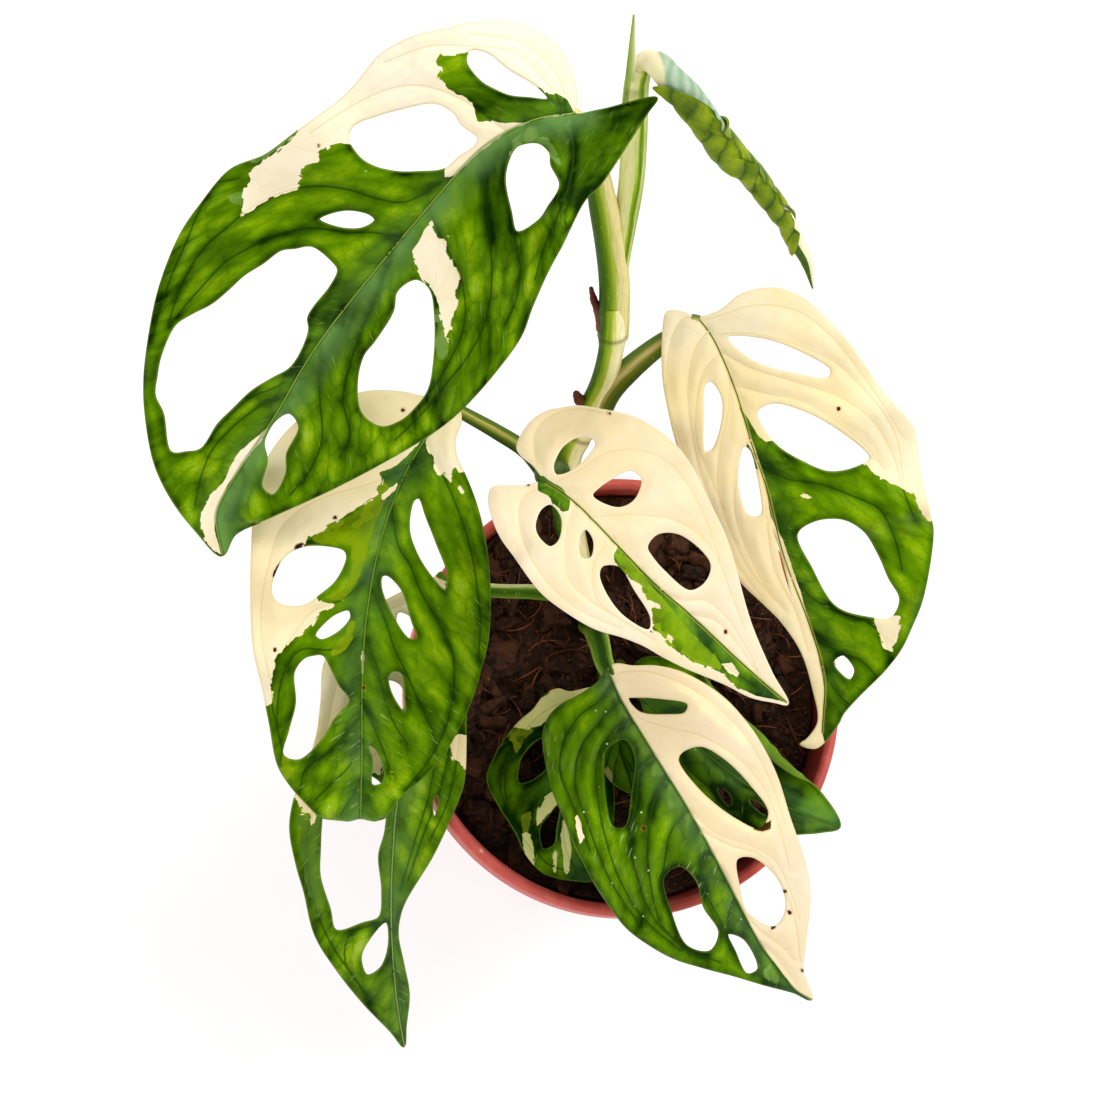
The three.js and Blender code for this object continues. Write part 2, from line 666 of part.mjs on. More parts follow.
const leafH = {
  ribScale: 0.85,
  form: { rise: 0.1, droop: 0.004, roll: 0.06, wave: { length: 90, phase: 2, height: 0.8 } },
  ribReach: 0.9,
  rib: [
    [640, 696, 107], [662, 716, 109], [700, 748, 111], [745, 783, 112.5], [789, 808, 113.5],
    [838, 826, 112],
  ],
  petiole: [[641, 697, 106.5], [632, 684, 104], [624, 672, 99], [618, 662, 88]],
  petioleRadius: [1.3, 1.8],
  petioleSteps: 6,
  margin: [
    [640, 696], [632, 672], [640, 660], [655, 657], [685, 664], [716, 672], [748, 690],
    [776, 716], [797, 740], [811, 762], [820, 786], [840, 827], [822, 832], [799, 834],
    [772, 836], [740, 826], [708, 806], [682, 780], [662, 752], [650, 728], [644, 712],
  ],
  holes: [
    [[717, 788], [724, 789], [732, 799], [730, 807], [722, 800]],
    [[749, 800], [755, 800], [769, 812], [767, 816], [752, 806]],
  ],
  turned: [{ from: [640, 621], to: [813, 794], radius: 1.9, turn: 172 }],
};

const leafJ = {
  ribScale: 0.7,
  lattice: 15,
  form: { rise: 0.25, droop: 0.01, roll: 0, wave: { length: 60, phase: 0, height: 0.3 } },
  ribReach: 0.9,
  rib: [[618, 720, 111.5], [619, 735, 113], [622, 756, 113.5], [628, 774, 112.5], [633, 793, 110]],
  petiole: [[618, 722, 111], [617, 709, 109], [614, 694, 103], [611, 680, 88]],
  petioleRadius: [1.1, 1.4],
  petioleSteps: 6,
  margin: [
    [618, 720], [608, 725], [601, 742], [601, 760], [606, 774], [613, 783], [623, 790],
    [633, 793], [640, 778], [642, 758], [638, 738], [629, 725],
  ],
  holes: [],
};

// The stem leans back from the soil, with a ring at each node
const stem = {
  line: [
    [594, 648, 78], [590, 622, 92], [582, 585, 104], [573, 540, 115], [564, 495, 126],
    [569, 455, 136], [585, 420, 143], [602, 385, 151], [611, 350, 160], [613, 322, 167],
    [613, 306, 170],
  ],
  radius: [3.9, 3.2],
  nodes: [0.2, 0.42, 0.66, 0.93],
  nodeRise: 0.55,
  nodeSpread: 0.022,
  sides: 9,
  steps: 38,
};

function stemRadius(t) {
  const plain = THREE.MathUtils.lerp(stem.radius[0], stem.radius[1], t);
  return stem.nodes.reduce((radius, node) => (
    radius + stem.nodeRise * Math.exp(-(((t - node) / stem.nodeSpread) ** 2))), plain);
}

function stemSolid(extra = 0) {
  return sweep(sightPath(stem.line), stem.steps, (t) => (
    roundSection(stemRadius(t) + extra, stem.sides)));
}

// What grows from the stem in its own brown colour: an aerial root and a dry sheath
const stemGrowths = [
  { line: [[603, 330, 164], [599, 312, 166], [594, 300, 170], [591, 288, 176]], radii: [1.6, 0.5] },
  { line: [[592, 408, 145], [585, 404, 146], [579, 399, 148], [576, 393, 151]], radii: [2.4, 0.8] },
  { line: [[572, 560, 110], [564, 566, 104], [558, 574, 97], [556, 580, 86]], radii: [1, 0.8] },
];

// The rolled new leaf: its petiole, the scroll of the blade and the pointed tip of its sheath
const newLeaf = {
  petiole: [
    [618, 268, 180], [625, 222, 191], [631, 184, 200], [634, 139, 210], [635, 105, 218],
    [637, 82, 228], [641, 66, 234],
  ],
  petioleRadius: [2.6, 3.1, 3.3, 3.3, 2.9],
  sheath: [[631, 120, 212], [631, 85, 229], [632, 52, 241], [634, 15, 252]],
  sheathWidth: [3, 0.35],
  sheathDepth: [1.6, 0.3],
  scroll: [
    [638, 74, 231], [645, 61, 235], [658, 65, 238], [671, 79, 238], [687, 95, 236],
    [701, 113, 233], [716, 135, 228], [735, 158, 223], [750, 172, 219], [767, 194, 213],
    [787, 222, 205], [797, 243, 199], [807, 262, 193], [813, 288, 185],
  ],
  scrollRadius: [2.2, 4, 4.4, 4.2, 4, 3.5, 3, 2.7, 2.5, 1.9, 0.4],
  lip: 0.34,
  sides: 10,
  steps: 22,
};

// A scroll's section grows round its middle, so its outer edge stands out as a lip
function scrollSection(t) {
  const radius = spread(newLeaf.scrollRadius, t);
  const ring = [];
  for (let k = 0; k < newLeaf.sides; k += 1) {
    const turn = k / newLeaf.sides;
    const reach = radius * (1 - newLeaf.lip / 2 + newLeaf.lip * turn);
    const angle = 2 * Math.PI * turn + 2.4;
    ring.push([reach * Math.cos(angle), reach * Math.sin(angle)]);
  }
  return ring;
}

function newLeafSolid(carriers) {
  const sheath = sweep(sightPath(newLeaf.sheath), 8, (t) => {
    const width = THREE.MathUtils.lerp(...newLeaf.sheathWidth, t);
    const depth = THREE.MathUtils.lerp(...newLeaf.sheathDepth, t);
    return roundSection(1, 8).map(([x, y]) => [x * depth, y * width]);
  });
  let solid = sweep(sightPath(newLeaf.scroll), newLeaf.steps, scrollSection)
    .add(stalk(newLeaf.petiole, newLeaf.petioleRadius, 8, 12))
    .add(sheath);
  for (const carrier of carriers) {
    solid = solid.subtract(carrier);
  }
  return largest(solid);
}

// Pot and soil

const potFloor = pot.floor + pot.recessDepth;

function potSolid() {
  const { height, rimRadius, lipWidth, lipDepth, shoulderRadius, baseRadius } = pot;
  const innerBase = baseRadius - pot.wall;
  const innerShoulder = shoulderRadius - pot.wall;
  const profile = [
    [0, 0],
    [pot.recessRadii[0], 0],
    [pot.recessRadii[0] + 1, pot.recessDepth],
    [pot.recessRadii[1], pot.recessDepth],
    [pot.recessRadii[1] + 1, 0],
    [baseRadius - 0.5, 0],
    [baseRadius, 0.6],
    [shoulderRadius, height - lipDepth],
    [rimRadius - 0.5, height - lipDepth],
    [rimRadius, height - lipDepth + 0.6],
    [rimRadius, height - 0.9],
    [rimRadius - 0.8, height],
    [rimRadius - lipWidth + 0.8, height],
    [rimRadius - lipWidth, height - 0.9],
    [innerShoulder, height - lipDepth - 1],
    [innerBase + 0.4, potFloor],
    [0, potFloor],
  ];
  const outline = profile.map(([r, z]) => new THREE.Vector2(r, z));
  const lathe = new THREE.LatheGeometry(outline, pot.sides);
  lathe.rotateX(Math.PI / 2);
  let solid = solidOf(lathe);
  for (let i = 0; i < pot.drainHoles; i += 1) {
    const angle = 2 * Math.PI * (i + 0.5) / pot.drainHoles;
    const drill = new THREE.CylinderGeometry(pot.drainRadius, pot.drainRadius, 20, 12);
    drill.rotateX(Math.PI / 2);
    drill.translate(pot.drainRing * Math.cos(angle), pot.drainRing * Math.sin(angle), 0);
    solid = solid.subtract(solidOf(drill));
  }
  return solid;
}

// Inner radius of the pot's wall at a height
function potInside(z) {
  const top = pot.height - pot.lipDepth - 1;
  const t = (z - potFloor) / (top - potFloor);
  return THREE.MathUtils.lerp(pot.baseRadius - pot.wall + 0.4, pot.shoulderRadius - pot.wall, t);
}

// Uneven height of the soil's top, from a few crossing waves
function soilHeight(x, y) {
  const lumps = Math.sin(x * 0.31 + 1.3) * Math.cos(y * 0.27 - 0.4)
    + 0.6 * Math.sin(x * 0.13 - y * 0.17 + 2)
    + 0.5 * Math.sin(x * 0.53 + y * 0.47);
  return soil.top + lumps * soil.lumpHeight;
}

function soilBody() {
  const outer = potInside(soil.top) - gap * 2;
  const points = [new THREE.Vector3(0, 0, soilHeight(0, 0))];
  const faces = [];
  const starts = [];
  for (let row = 1; row <= soil.rows; row += 1) {
    starts.push(points.length);
    const radius = outer * row / soil.rows;
    const count = row * 6;
    for (let k = 0; k < count; k += 1) {
      const angle = 2 * Math.PI * k / count;
      const x = radius * Math.cos(angle);
      const y = radius * Math.sin(angle);
      points.push(new THREE.Vector3(x, y, row === soil.rows ? soil.top - 0.5 : soilHeight(x, y)));
    }
  }
  for (let k = 0; k < 6; k += 1) {
    faces.push([0, 1 + k, 1 + (k + 1) % 6]);
  }
  for (let row = 1; row < soil.rows; row += 1) {
    joinRings(faces, starts[row - 1], row * 6, starts[row], (row + 1) * 6);
  }
  const floor = potFloor + gap;
  const rim = starts[soil.rows - 1];
  const count = soil.rows * 6;
  const lower = points.length;
  const inner = potInside(floor) - gap * 2;
  for (let k = 0; k < count; k += 1) {
    const angle = 2 * Math.PI * k / count;
    points.push(new THREE.Vector3(inner * Math.cos(angle), inner * Math.sin(angle), floor));
  }
  const middle = points.push(new THREE.Vector3(0, 0, floor)) - 1;
  for (let k = 0; k < count; k += 1) {
    const next = (k + 1) % count;
    faces.push([rim + k, lower + k, lower + next], [rim + k, lower + next, rim + next]);
    faces.push([lower + k, middle, lower + next]);
  }
  return solidOf(geometryFrom(points, faces));
}

// Triangles between two rings of points with different counts
function joinRings(faces, inner, innerCount, outer, outerCount) {
  let i = 0;
  let o = 0;
  while (i < innerCount || o < outerCount) {
    const a = inner + i % innerCount;
    const b = outer + o % outerCount;
    if (o < outerCount && (o + 1) / outerCount <= (i + 1) / innerCount + 1e-9) {
      faces.push([a, b, outer + (o + 1) % outerCount]);
      o += 1;
    } else {
      faces.push([a, b, inner + (i + 1) % innerCount]);
      i += 1;
    }
  }
}

// Bark chips, each a squashed low ball sunk into the soil, and coir fibres that arch over it
function soilSolid(carriers) {
  const random = randomFrom(soil.seed);
  const room = potInside(soil.top) - 6;
  let solid = soilBody();
  for (let i = 0; i < soil.chips; i += 1) {
    const angle = random() * 2 * Math.PI;
    const reach = Math.sqrt(random()) * room;
    const size = THREE.MathUtils.lerp(...soil.chipSize, random());
    const chip = new THREE.IcosahedronGeometry(size, 0);
    chip.scale(1, 0.6 + 0.4 * random(), 0.45 + 0.25 * random());
    chip.rotateX((random() - 0.5) * 0.9);
    chip.rotateZ(random() * Math.PI);
    const x = reach * Math.cos(angle);
    const y = reach * Math.sin(angle);
    chip.translate(x, y, soilHeight(x, y) - size * 0.05);
    solid = solid.add(solidOf(chip));
  }
  for (let i = 0; i < soil.fibres; i += 1) {
    const angle = random() * 2 * Math.PI;
    const reach = Math.sqrt(random()) * (room - 4);
    const way = random() * 2 * Math.PI;
    const length = 7 + 7 * random();
    const spots = [-0.5, -0.2, 0.2, 0.5].map((s, k) => {
      const x = reach * Math.cos(angle) + s * length * Math.cos(way + s * 0.8);
      const y = reach * Math.sin(angle) + s * length * Math.sin(way + s * 0.8);
      const rise = k === 0 || k === 3 ? -1.2 : 0.5;
      return new THREE.Vector3(x, y, soilHeight(x, y) + rise);
    });
    solid = solid.add(sweep(new THREE.CatmullRomCurve3(spots), 5, () => (
      roundSection(soil.fibreRadius, 4))));
  }
  for (const carrier of carriers) {
    solid = solid.subtract(carrier);
  }
  return largest(solid);
}

// The assembly
const group = new THREE.Group();

function place(name, solid, colour, roughness) {
  const material = new THREE.MeshStandardMaterial({ color: colour, roughness, metalness: 0 });
  const mesh = new THREE.Mesh(geometryOf(solid), material);
  mesh.name = name;
  group.add(mesh);
}

const stemRoom = stemSolid(gap);
const soilHoles = [leafE, leafF, leafG, leafH, leafJ].map((leaf) => petioleSolid(leaf, gap));
const growthSolids = stemGrowths.map(({ line, radii }) => stalk(line, radii, 6, 4));
const growthRooms = stemGrowths.map(({ line, radii }) => stalk(line, radii, 6, 4, gap));
const wholeStem = growthSolids.reduce((solid, growth) => solid.add(growth), stemSolid());

place('pot', potSolid(), 0xc85548, 0.45);
place('soil', soilSolid([stemRoom, ...soilHoles, ...growthRooms]), 0x2b1b14, 0.95);
place('stem', wholeStem, 0x8fa03a, 0.5);
place('leafA', leafSolid(leafA, [stemRoom, ...growthRooms]), 0x3f8a12, 0.4);
place('leafB', leafSolid(leafB, [stemRoom]), 0x4f8f1c, 0.4);
place('leafC', leafSolid(leafC, [stemRoom]), 0xf7e8c4, 0.45);
place('leafD', leafSolid(leafD, [stemRoom, ...growthRooms]), 0xf0e2b0, 0.45);
place('leafE', leafSolid(leafE, [stemRoom]), 0x2f7012, 0.35);
place('leafF', leafSolid(leafF, [stemRoom]), 0x2c6414, 0.4);
place('leafG', leafSolid(leafG, []), 0x2a5c18, 0.4);
place('leafH', leafSolid(leafH, []), 0x357a14, 0.4);
place('leafJ', leafSolid(leafJ, []), 0x86a820, 0.4);
place('newLeaf', newLeafSolid([stemRoom, petioleSolid(leafA, gap)]), 0x9cb04a, 0.45);

export default group;
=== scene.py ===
# A potted monstera with cream variegation. The looks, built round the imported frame, in metres.
import math
import random

import bmesh
import bpy
import numpy as np
from mathutils import Matrix, Vector, kdtree, noise
from mathutils.geometry import delaunay_2d_cdt


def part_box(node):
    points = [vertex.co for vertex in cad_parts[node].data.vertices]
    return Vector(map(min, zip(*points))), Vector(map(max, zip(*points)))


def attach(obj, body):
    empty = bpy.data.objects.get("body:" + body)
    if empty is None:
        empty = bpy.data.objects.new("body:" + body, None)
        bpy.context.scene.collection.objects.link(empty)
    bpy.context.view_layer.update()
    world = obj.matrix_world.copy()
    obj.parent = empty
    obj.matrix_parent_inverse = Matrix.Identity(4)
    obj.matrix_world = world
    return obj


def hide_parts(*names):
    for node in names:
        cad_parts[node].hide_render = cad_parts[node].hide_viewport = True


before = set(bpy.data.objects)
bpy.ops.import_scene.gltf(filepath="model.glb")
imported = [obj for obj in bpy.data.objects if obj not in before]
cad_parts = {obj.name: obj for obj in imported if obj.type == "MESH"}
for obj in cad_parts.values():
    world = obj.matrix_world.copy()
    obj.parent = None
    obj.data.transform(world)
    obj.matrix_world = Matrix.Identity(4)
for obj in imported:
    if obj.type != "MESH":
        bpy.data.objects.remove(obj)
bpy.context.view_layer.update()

mm = 0.001

# The leaves were traced in a photograph. This is its eye, and how its pixels lie over the pot.
photo = {
    "middle": 550,  # the picture is 1100 pixels wide and high
    "rimMiddle": (625.5, 695),
    "pixelsPerMm": 3.683,  # at the rim
    "eyeDistance": 950,  # mm
    "toEye": (-0.171, -0.171, 0.97),
    "sensorWidth": 36,
}
perMm = photo["pixelsPerMm"]
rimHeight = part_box("pot")[1].z / mm
toEye = Vector(photo["toEye"]).normalized()
eyeRight = Vector((toEye.z, 0, -toEye.x)).normalized()
eyeUp = toEye.cross(eyeRight)
eyePoint = (
    Vector((0, 0, rimHeight)) + toEye * photo["eyeDistance"]
    + eyeRight * (photo["middle"] - photo["rimMiddle"][0]) / perMm
    + eyeUp * (photo["rimMiddle"][1] - photo["middle"]) / perMm
)
focal = perMm * photo["eyeDistance"]


def sight(x, y, z):  # points in mm at heights z, on the lines of sight through pixels
    x, y, z = (np.atleast_1d(np.asarray(v, float)) for v in (x, y, z))
    ray = (
        -focal * np.array(toEye)[None, :]
        + (x - photo["middle"])[:, None] * np.array(eyeRight)[None, :]
        + (photo["middle"] - y)[:, None] * np.array(eyeUp)[None, :]
    )
    return np.array(eyePoint) + ray * ((z - eyePoint.z) / ray[:, 2])[:, None]


def trace(text):  # traced places, as "x,y x,y" in pixels or "x,y,z" with a height in mm
    return [[float(number) for number in place.split(",")] for place in text.split()]


def traces(text):  # several traced lines or outlines
    return [trace(line) for line in text.split(";")]


# Curves and distances


def curveAt(points, places, closed=False):  # centripetal curve; place 2.5 is midway from 2 to 3
    points = np.asarray(points, float)
    places = np.asarray(places, float)
    count = len(points)
    if closed:
        padded = np.vstack([points[-1:], points, points[:2]])
        i = np.floor(places).astype(int) % count
        t = places - np.floor(places)
    else:
        padded = np.vstack([2 * points[0] - points[1], points, 2 * points[-1] - points[-2]])
        i = np.clip(np.floor(places).astype(int), 0, count - 2)
        t = places - i
    a, b, c, d = (padded[i + k] for k in range(4))
    gapA, gapB, gapC = (np.sqrt(np.linalg.norm(q - p, axis=1)) for p, q in ((a, b), (b, c), (c, d)))
    gapB = np.where(gapB < 1e-4, 1, gapB)[:, None]
    gapA = np.where(gapA[:, None] < 1e-4, gapB, gapA[:, None])
    gapC = np.where(gapC[:, None] < 1e-4, gapB, gapC[:, None])
    slopeB = ((b - a) / gapA - (c - a) / (gapA + gapB) + (c - b) / gapB) * gapB
    slopeC = ((c - b) / gapB - (d - b) / (gapB + gapC) + (d - c) / gapC) * gapB
    t = t[:, None]
    square, cube = t * t, t * t * t
    return (
        b * (2 * cube - 3 * square + 1) + c * (3 * square - 2 * cube)
        + slopeB * (cube - 2 * square + t) + slopeC * (cube - square)
    )


def smoothed(points, step, closed=False):  # a line or outline with points about one step apart
    points = np.asarray(points, float)
    ends = np.roll(points, -1, axis=0) if closed else points[1:]
    lengths = np.linalg.norm(ends - points[:len(ends)], axis=1)
    places = [0]
    for i, length in enumerate(lengths):
        parts = max(1, round(length / step))
        places += [i + (k + 1) / parts for k in range(parts)]
    return curveAt(points, places[:-1] if closed else places, closed)


def nearLine(x, y, line):  # distance to a line, way along it, and which part and place on that is nearest
    best = np.full(len(x), np.inf)
    along, place = np.zeros(len(x)), np.zeros(len(x))
    part = np.zeros(len(x), int)
    run = 0
    for i, (a, b) in enumerate(zip(line[:-1], line[1:])):
        dx, dy = b[0] - a[0], b[1] - a[1]
        length = math.hypot(dx, dy) or 1e-9
        t = np.clip(((x - a[0]) * dx + (y - a[1]) * dy) / length ** 2, 0, 1)
        distance = np.hypot(x - a[0] - t * dx, y - a[1] - t * dy)
        nearer = distance < best
        best[nearer] = distance[nearer]
        along[nearer] = (run + t * length)[nearer]
        place[nearer] = t[nearer]
        part[nearer] = i
        run += length
    return best, along, part, place


def insideOf(x, y, ring):
    inside = np.zeros(len(x), bool)
    for (ax, ay), (bx, by) in zip(ring, np.roll(ring, -1, axis=0)):
        if ay != by:
            crosses = ((ay > y) != (by > y)) & (x < (bx - ax) * (y - ay) / (by - ay) + ax)
            inside ^= crosses
    return inside


def inBlade(points, rings):  # rings are the outline and the holes
    x, y = points[:, 0], points[:, 1]
    inside = insideOf(x, y, rings[0])
    for hole in rings[1:]:
        inside &= ~insideOf(x, y, hole)
    return inside


def depthIn(x, y, patches):  # mm inside the nearest of some outlines, less than 0 outside them
    depth = np.full(len(x), -99.0)
    for patch in patches:
        ring = np.asarray(patch, float)
        away = nearLine(x, y, np.vstack([ring, ring[:1]]))[0] / perMm
        depth = np.maximum(depth, np.where(insideOf(x, y, ring), away, -away))
    return depth


def between(value, low, high):  # a soft step from 0 at low to 1 at high
    t = np.clip((value - low) / (high - low), 0, 1)
    return t * t * (3 - 2 * t)


# Meshes


def putIn(name, data):
    made = bpy.data.objects.new(name, data)
    bpy.context.scene.collection.objects.link(made)
    return made


def newPiece(name, points, faces, fields, replaced, materials, materialOf=None):
    mesh = bpy.data.meshes.new(name)
    mesh.from_pydata((np.asarray(points, float) * mm).tolist(), [], faces)
    for material in materials:
        mesh.materials.append(material)
    if materialOf is not None:
        mesh.polygons.foreach_set("material_index", np.asarray(materialOf, np.int32))
    mesh.polygons.foreach_set("use_smooth", np.ones(len(mesh.polygons), bool))
    mesh.update()
    for key, values in fields.items():
        mesh.attributes.new(key, "FLOAT", "POINT").data.foreach_set("value", np.asarray(values, np.float32))
    piece = putIn(name, mesh)
    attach(piece, "root")
    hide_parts(replaced)
    print(name, "made with", len(faces), "faces")
    return piece


def joinParts(parts):  # (points, faces, fields, material number) of several parts as those of one
    points, faces, which, start = [], [], [], 0
    names = sorted({name for part in parts for name in part[2]})
    fields = {name: [] for name in names}
    for more, skin, own, material in parts:
        points.append(np.asarray(more, float))
        faces += [tuple(int(i) + start for i in face) for face in skin]
        which += [material] * len(skin)
        for name in names:
            fields[name].append(own.get(name, np.zeros(len(more))))
        start += len(more)
    return np.vstack(points), faces, {name: np.concatenate(v) for name, v in fields.items()}, which


def waysOff(path, seen=toEye):  # at each point of a path, the ways to its side and towards the eye
    tangents = np.gradient(path, axis=0)
    tangents /= np.linalg.norm(tangents, axis=1)[:, None]
    sideways = np.cross(tangents, np.array(seen))
    sideways /= np.linalg.norm(sideways, axis=1)[:, None]
    return sideways, np.cross(sideways, tangents)


def sweep(path, section, seen=toEye):
    # A closed skin along a path. section(t) gives how far out it reaches to the side and towards
    # the eye. Gives points, faces, and for each point the side and face it is on and the way along.
    path = np.asarray(path, float)
    sideways, facing = waysOff(path, seen)
    run = np.concatenate([[0], np.cumsum(np.linalg.norm(np.diff(path, axis=0), axis=1))])
    rings, onSide, onFace = [], [], []
    for i, centre in enumerate(path):
        across, out = section(run[i] / run[-1])
        rings.append(centre + np.outer(across, sideways[i]) + np.outer(out, facing[i]))
        onSide.append(across / np.abs(across).max())
        onFace.append(out / np.abs(out).max())
    sides = len(rings[0])
    points = np.vstack(rings + [path[:1], path[-1:]])
    steps = len(path) - 1
    faces = []
    for i in range(steps):
        for k in range(sides):
            a, b = i * sides + k, i * sides + (k + 1) % sides
            faces.append((a, b, b + sides, a + sides))
    first, last = len(points) - 2, len(points) - 1
    for k in range(sides):
        faces.append((first, (k + 1) % sides, k))
        faces.append((last, steps * sides + k, steps * sides + (k + 1) % sides))
    fields = {
        "side": np.concatenate([*onSide, [0, 0]]),
        "face": np.concatenate([*onFace, [0, 0]]),
        "run": np.concatenate([np.repeat(run, sides), [0, run[-1]]]),
    }
    return points, faces, fields


def evenPath(points, step):  # a traced path, pixel, pixel and height, as even steps in space
    points = np.asarray(points, float)
    spots = sight(points[:, 0], points[:, 1], points[:, 2])
    fine = curveAt(spots, np.linspace(0, len(spots) - 1, len(spots) * 30))
    run = np.concatenate([[0], np.cumsum(np.linalg.norm(np.diff(fine, axis=0), axis=1))])
    wanted = np.linspace(0, run[-1], max(4, round(run[-1] / step)))
    return np.stack([np.interp(wanted, run, fine[:, k]) for k in range(3)], axis=1)


# Materials


def srgb(red, green, blue):  # a colour from 0 to 255 as the light that it gives
    light = [v / 255 / 12.92 if v <= 10 else ((v / 255 + 0.055) / 1.055) ** 2.4 for v in (red, green, blue)]
    return (*light, 1)


def newMaterial(name):  # the functions below add their nodes to the newest material
    global tree, shader
    material = bpy.data.materials.new(name)
    material.use_nodes = True
    tree = material.node_tree
    shader = tree.nodes["Principled BSDF"]
    return material


def addNode(kind, inputs=(), **settings):
    made = tree.nodes.new("ShaderNode" + kind)
    for key, value in settings.items():
        setattr(made, key, value)
    for key, value in dict(inputs).items():
        plug(value, made.inputs[key])
    return made


def plug(value, socket):
    if isinstance(value, bpy.types.NodeSocket):
        tree.links.new(value, socket)
    else:
        socket.default_value = value


def calc(operation, a, b=0.0, c=0.0):
    return addNode("Math", {0: a, 1: b, 2: c}, operation=operation).outputs[0]


def times(a, b):
    return calc("MULTIPLY", a, b)


def scaled(value, amount, add):
    return calc("MULTIPLY_ADD", value, amount, add)


def centred(value, amount, add):  # a value about 0.5 as a swing either way
    return scaled(calc("SUBTRACT", value, 0.5), amount, add)


def fade(value, low, high, floor=0.0, top=1.0):
    ranges = {"Value": value, "From Min": low, "From Max": high, "To Min": floor, "To Max": top}
    return addNode("MapRange", ranges, interpolation_type="SMOOTHSTEP").outputs[0]


def blend(factor, a, b):
    return addNode("Mix", {0: factor, 6: a, 7: b}, data_type="RGBA").outputs[2]


def blend1(factor, a, b):  # the same for plain values
    return addNode("Mix", {0: factor, 2: a, 3: b}, data_type="FLOAT").outputs[0]


def cloud(scale, detail, rough, where):  # scale counts features in a metre
    inputs = {"Vector": where, "Scale": scale, "Detail": detail, "Roughness": rough}
    return addNode("TexNoise", inputs).outputs["Fac"]


def cells(scale, feature, where):
    return addNode("TexVoronoi", {"Vector": where, "Scale": scale}, feature=feature)


def warp(where, scale, amount):  # places pushed about, so that cells get uneven sides
    push = addNode("TexNoise", {"Vector": where, "Scale": scale, "Detail": 2.0}).outputs["Color"]
    inputs = {0: push, 1: (amount, amount, amount), 2: where}
    return addNode("VectorMath", inputs, operation="MULTIPLY_ADD").outputs[0]


def spot():
    return addNode("TexCoord").outputs["Object"]


def field(name):
    return addNode("Attribute", attribute_name=name).outputs["Fac"]


def specks(scale, inner, outer, strength, few, soft, where):  # round marks in few of the cells
    made = cells(scale, "F1", where)
    rare = fade(made.outputs["Color"], few, few + soft)
    return times(fade(made.outputs["Distance"], inner, outer, strength, 0.0), rare)


def surface(colour, rough, height, depth, gloss=0.5, waxy=0.0, waxRadius=(1.0, 0.9, 0.4)):
    sockets = {
        "Base Color": colour, "Roughness": rough, "Specular IOR Level": gloss, "Subsurface Weight": waxy,
        "Subsurface Radius": waxRadius, "Subsurface Scale": 0.001,
        "Normal": addNode("Bump", {"Height": height, "Distance": depth}).outputs[0],
    }
    for name, value in sockets.items():
        plug(value, shader.inputs[name])


def paint(colour, coats):  # coats are (mask, colour), each over those before it
    for mask, coat in coats:
        colour = blend(mask, colour, coat)
    return colour


def ramp(factor, stops):  # stops are (place, colour)
    made = addNode("ValToRGB", {0: factor})
    bar = made.color_ramp
    while len(bar.elements) < len(stops):
        bar.elements.new(0.5)
    for element, (place, colour) in zip(bar.elements, stops):
        element.position = place
        element.color = colour
    return made.outputs[0]


# Leaves

leafMesh = {
    "step": 3.0,  # pixels between points
    "half": 0.3,  # mm, half the blade's thickness
    "ribRadius": (1.5, 0.5),
    "ribRows": (0.0, 0.3, 0.65, 1.1, 1.8),  # mm from the midrib
    "veinRows": (0.0, 0.5),
    "quilt": 0.7,  # mm that the blade swells between veins
    "smallLumps": 0.34,
    "veinDip": 0.42,
    "flowSlope": 0.5,  # how the side veins leave the midrib, and how they bend on their way out
    "flowBend": 0.01,
    "seed": 11,
}


def ribLine(rib):  # the midrib, carried on past both ends
    near = curveAt(rib, np.linspace(0, len(rib) - 1, len(rib) * 4 + 1))
    points = curveAt(rib, np.linspace(0, len(rib) - 1, len(rib) * 20 + 1))
    first = near[0] + 40 * (near[0] - near[1])
    last = near[-1] + 40 * (near[-1] - near[-2])
    return np.vstack([first, points, last])


def againstRib(line, x, y):  # height of the midrib beside each pixel, way along and across in pixels
    distance, along, part, place = nearLine(x, y, line)
    start = line[part]
    way = line[part + 1] - start
    side = np.where(way[:, 0] * (y - start[:, 1]) - way[:, 1] * (x - start[:, 0]) < 0, -1, 1)
    return start[:, 2] + place * way[:, 2], along, side * distance


def bladeHeight(leaf, line, x, y):
    z, along, across = againstRib(line, x, y)
    form = leaf["form"]
    wave = form["wave"]
    width = across / perMm
    reach = np.abs(width)
    phase = wave["phase"] + np.where(width > 0, 0, 2)
    swing = np.sin(along / wave["length"] * 2 * math.pi + phase)
    return (
        z + form["rise"] * reach - form["droop"] * reach ** 2 + form["roll"] * width
        + wave["height"] * swing * reach / 25
    )


def turnEdge(leaf, x, y):  # what lies past a turned edge's line is wrapped round a bend
    x, y = x.copy(), y.copy()
    lift = np.zeros(len(x))
    for edge in leaf.get("turned", []):
        (ax, ay), (bx, by) = edge["from"], edge["to"]
        length = math.hypot(bx - ax, by - ay)
        normal = ((by - ay) / length, (ax - bx) / length)
        past = ((x - ax) * normal[0] + (y - ay) * normal[1]) / perMm
        along = ((x - ax) * (bx - ax) + (y - ay) * (by - ay)) / length ** 2
        taken = (past > 0) & (along > -0.25) & (along < 1.25)
        radius = edge["radius"]
        angle = np.minimum(past / radius, math.radians(abs(edge["turn"])))
        rest = past - angle * radius
        out = radius * np.sin(angle) + rest * np.cos(angle)
        rise = radius * (1 - np.cos(angle)) + rest * np.sin(angle)
        back = np.where(taken, (out - past) * perMm, 0)
        x += normal[0] * back
        y += normal[1] * back
        lift += np.where(taken, math.copysign(1, edge["turn"]) * rise, 0)
    return x, y, lift


def findable(points):
    known = kdtree.KDTree(len(points))
    for i, p in enumerate(points):
        known.insert((p[0], p[1], 0), i)
    known.balance()
    return known


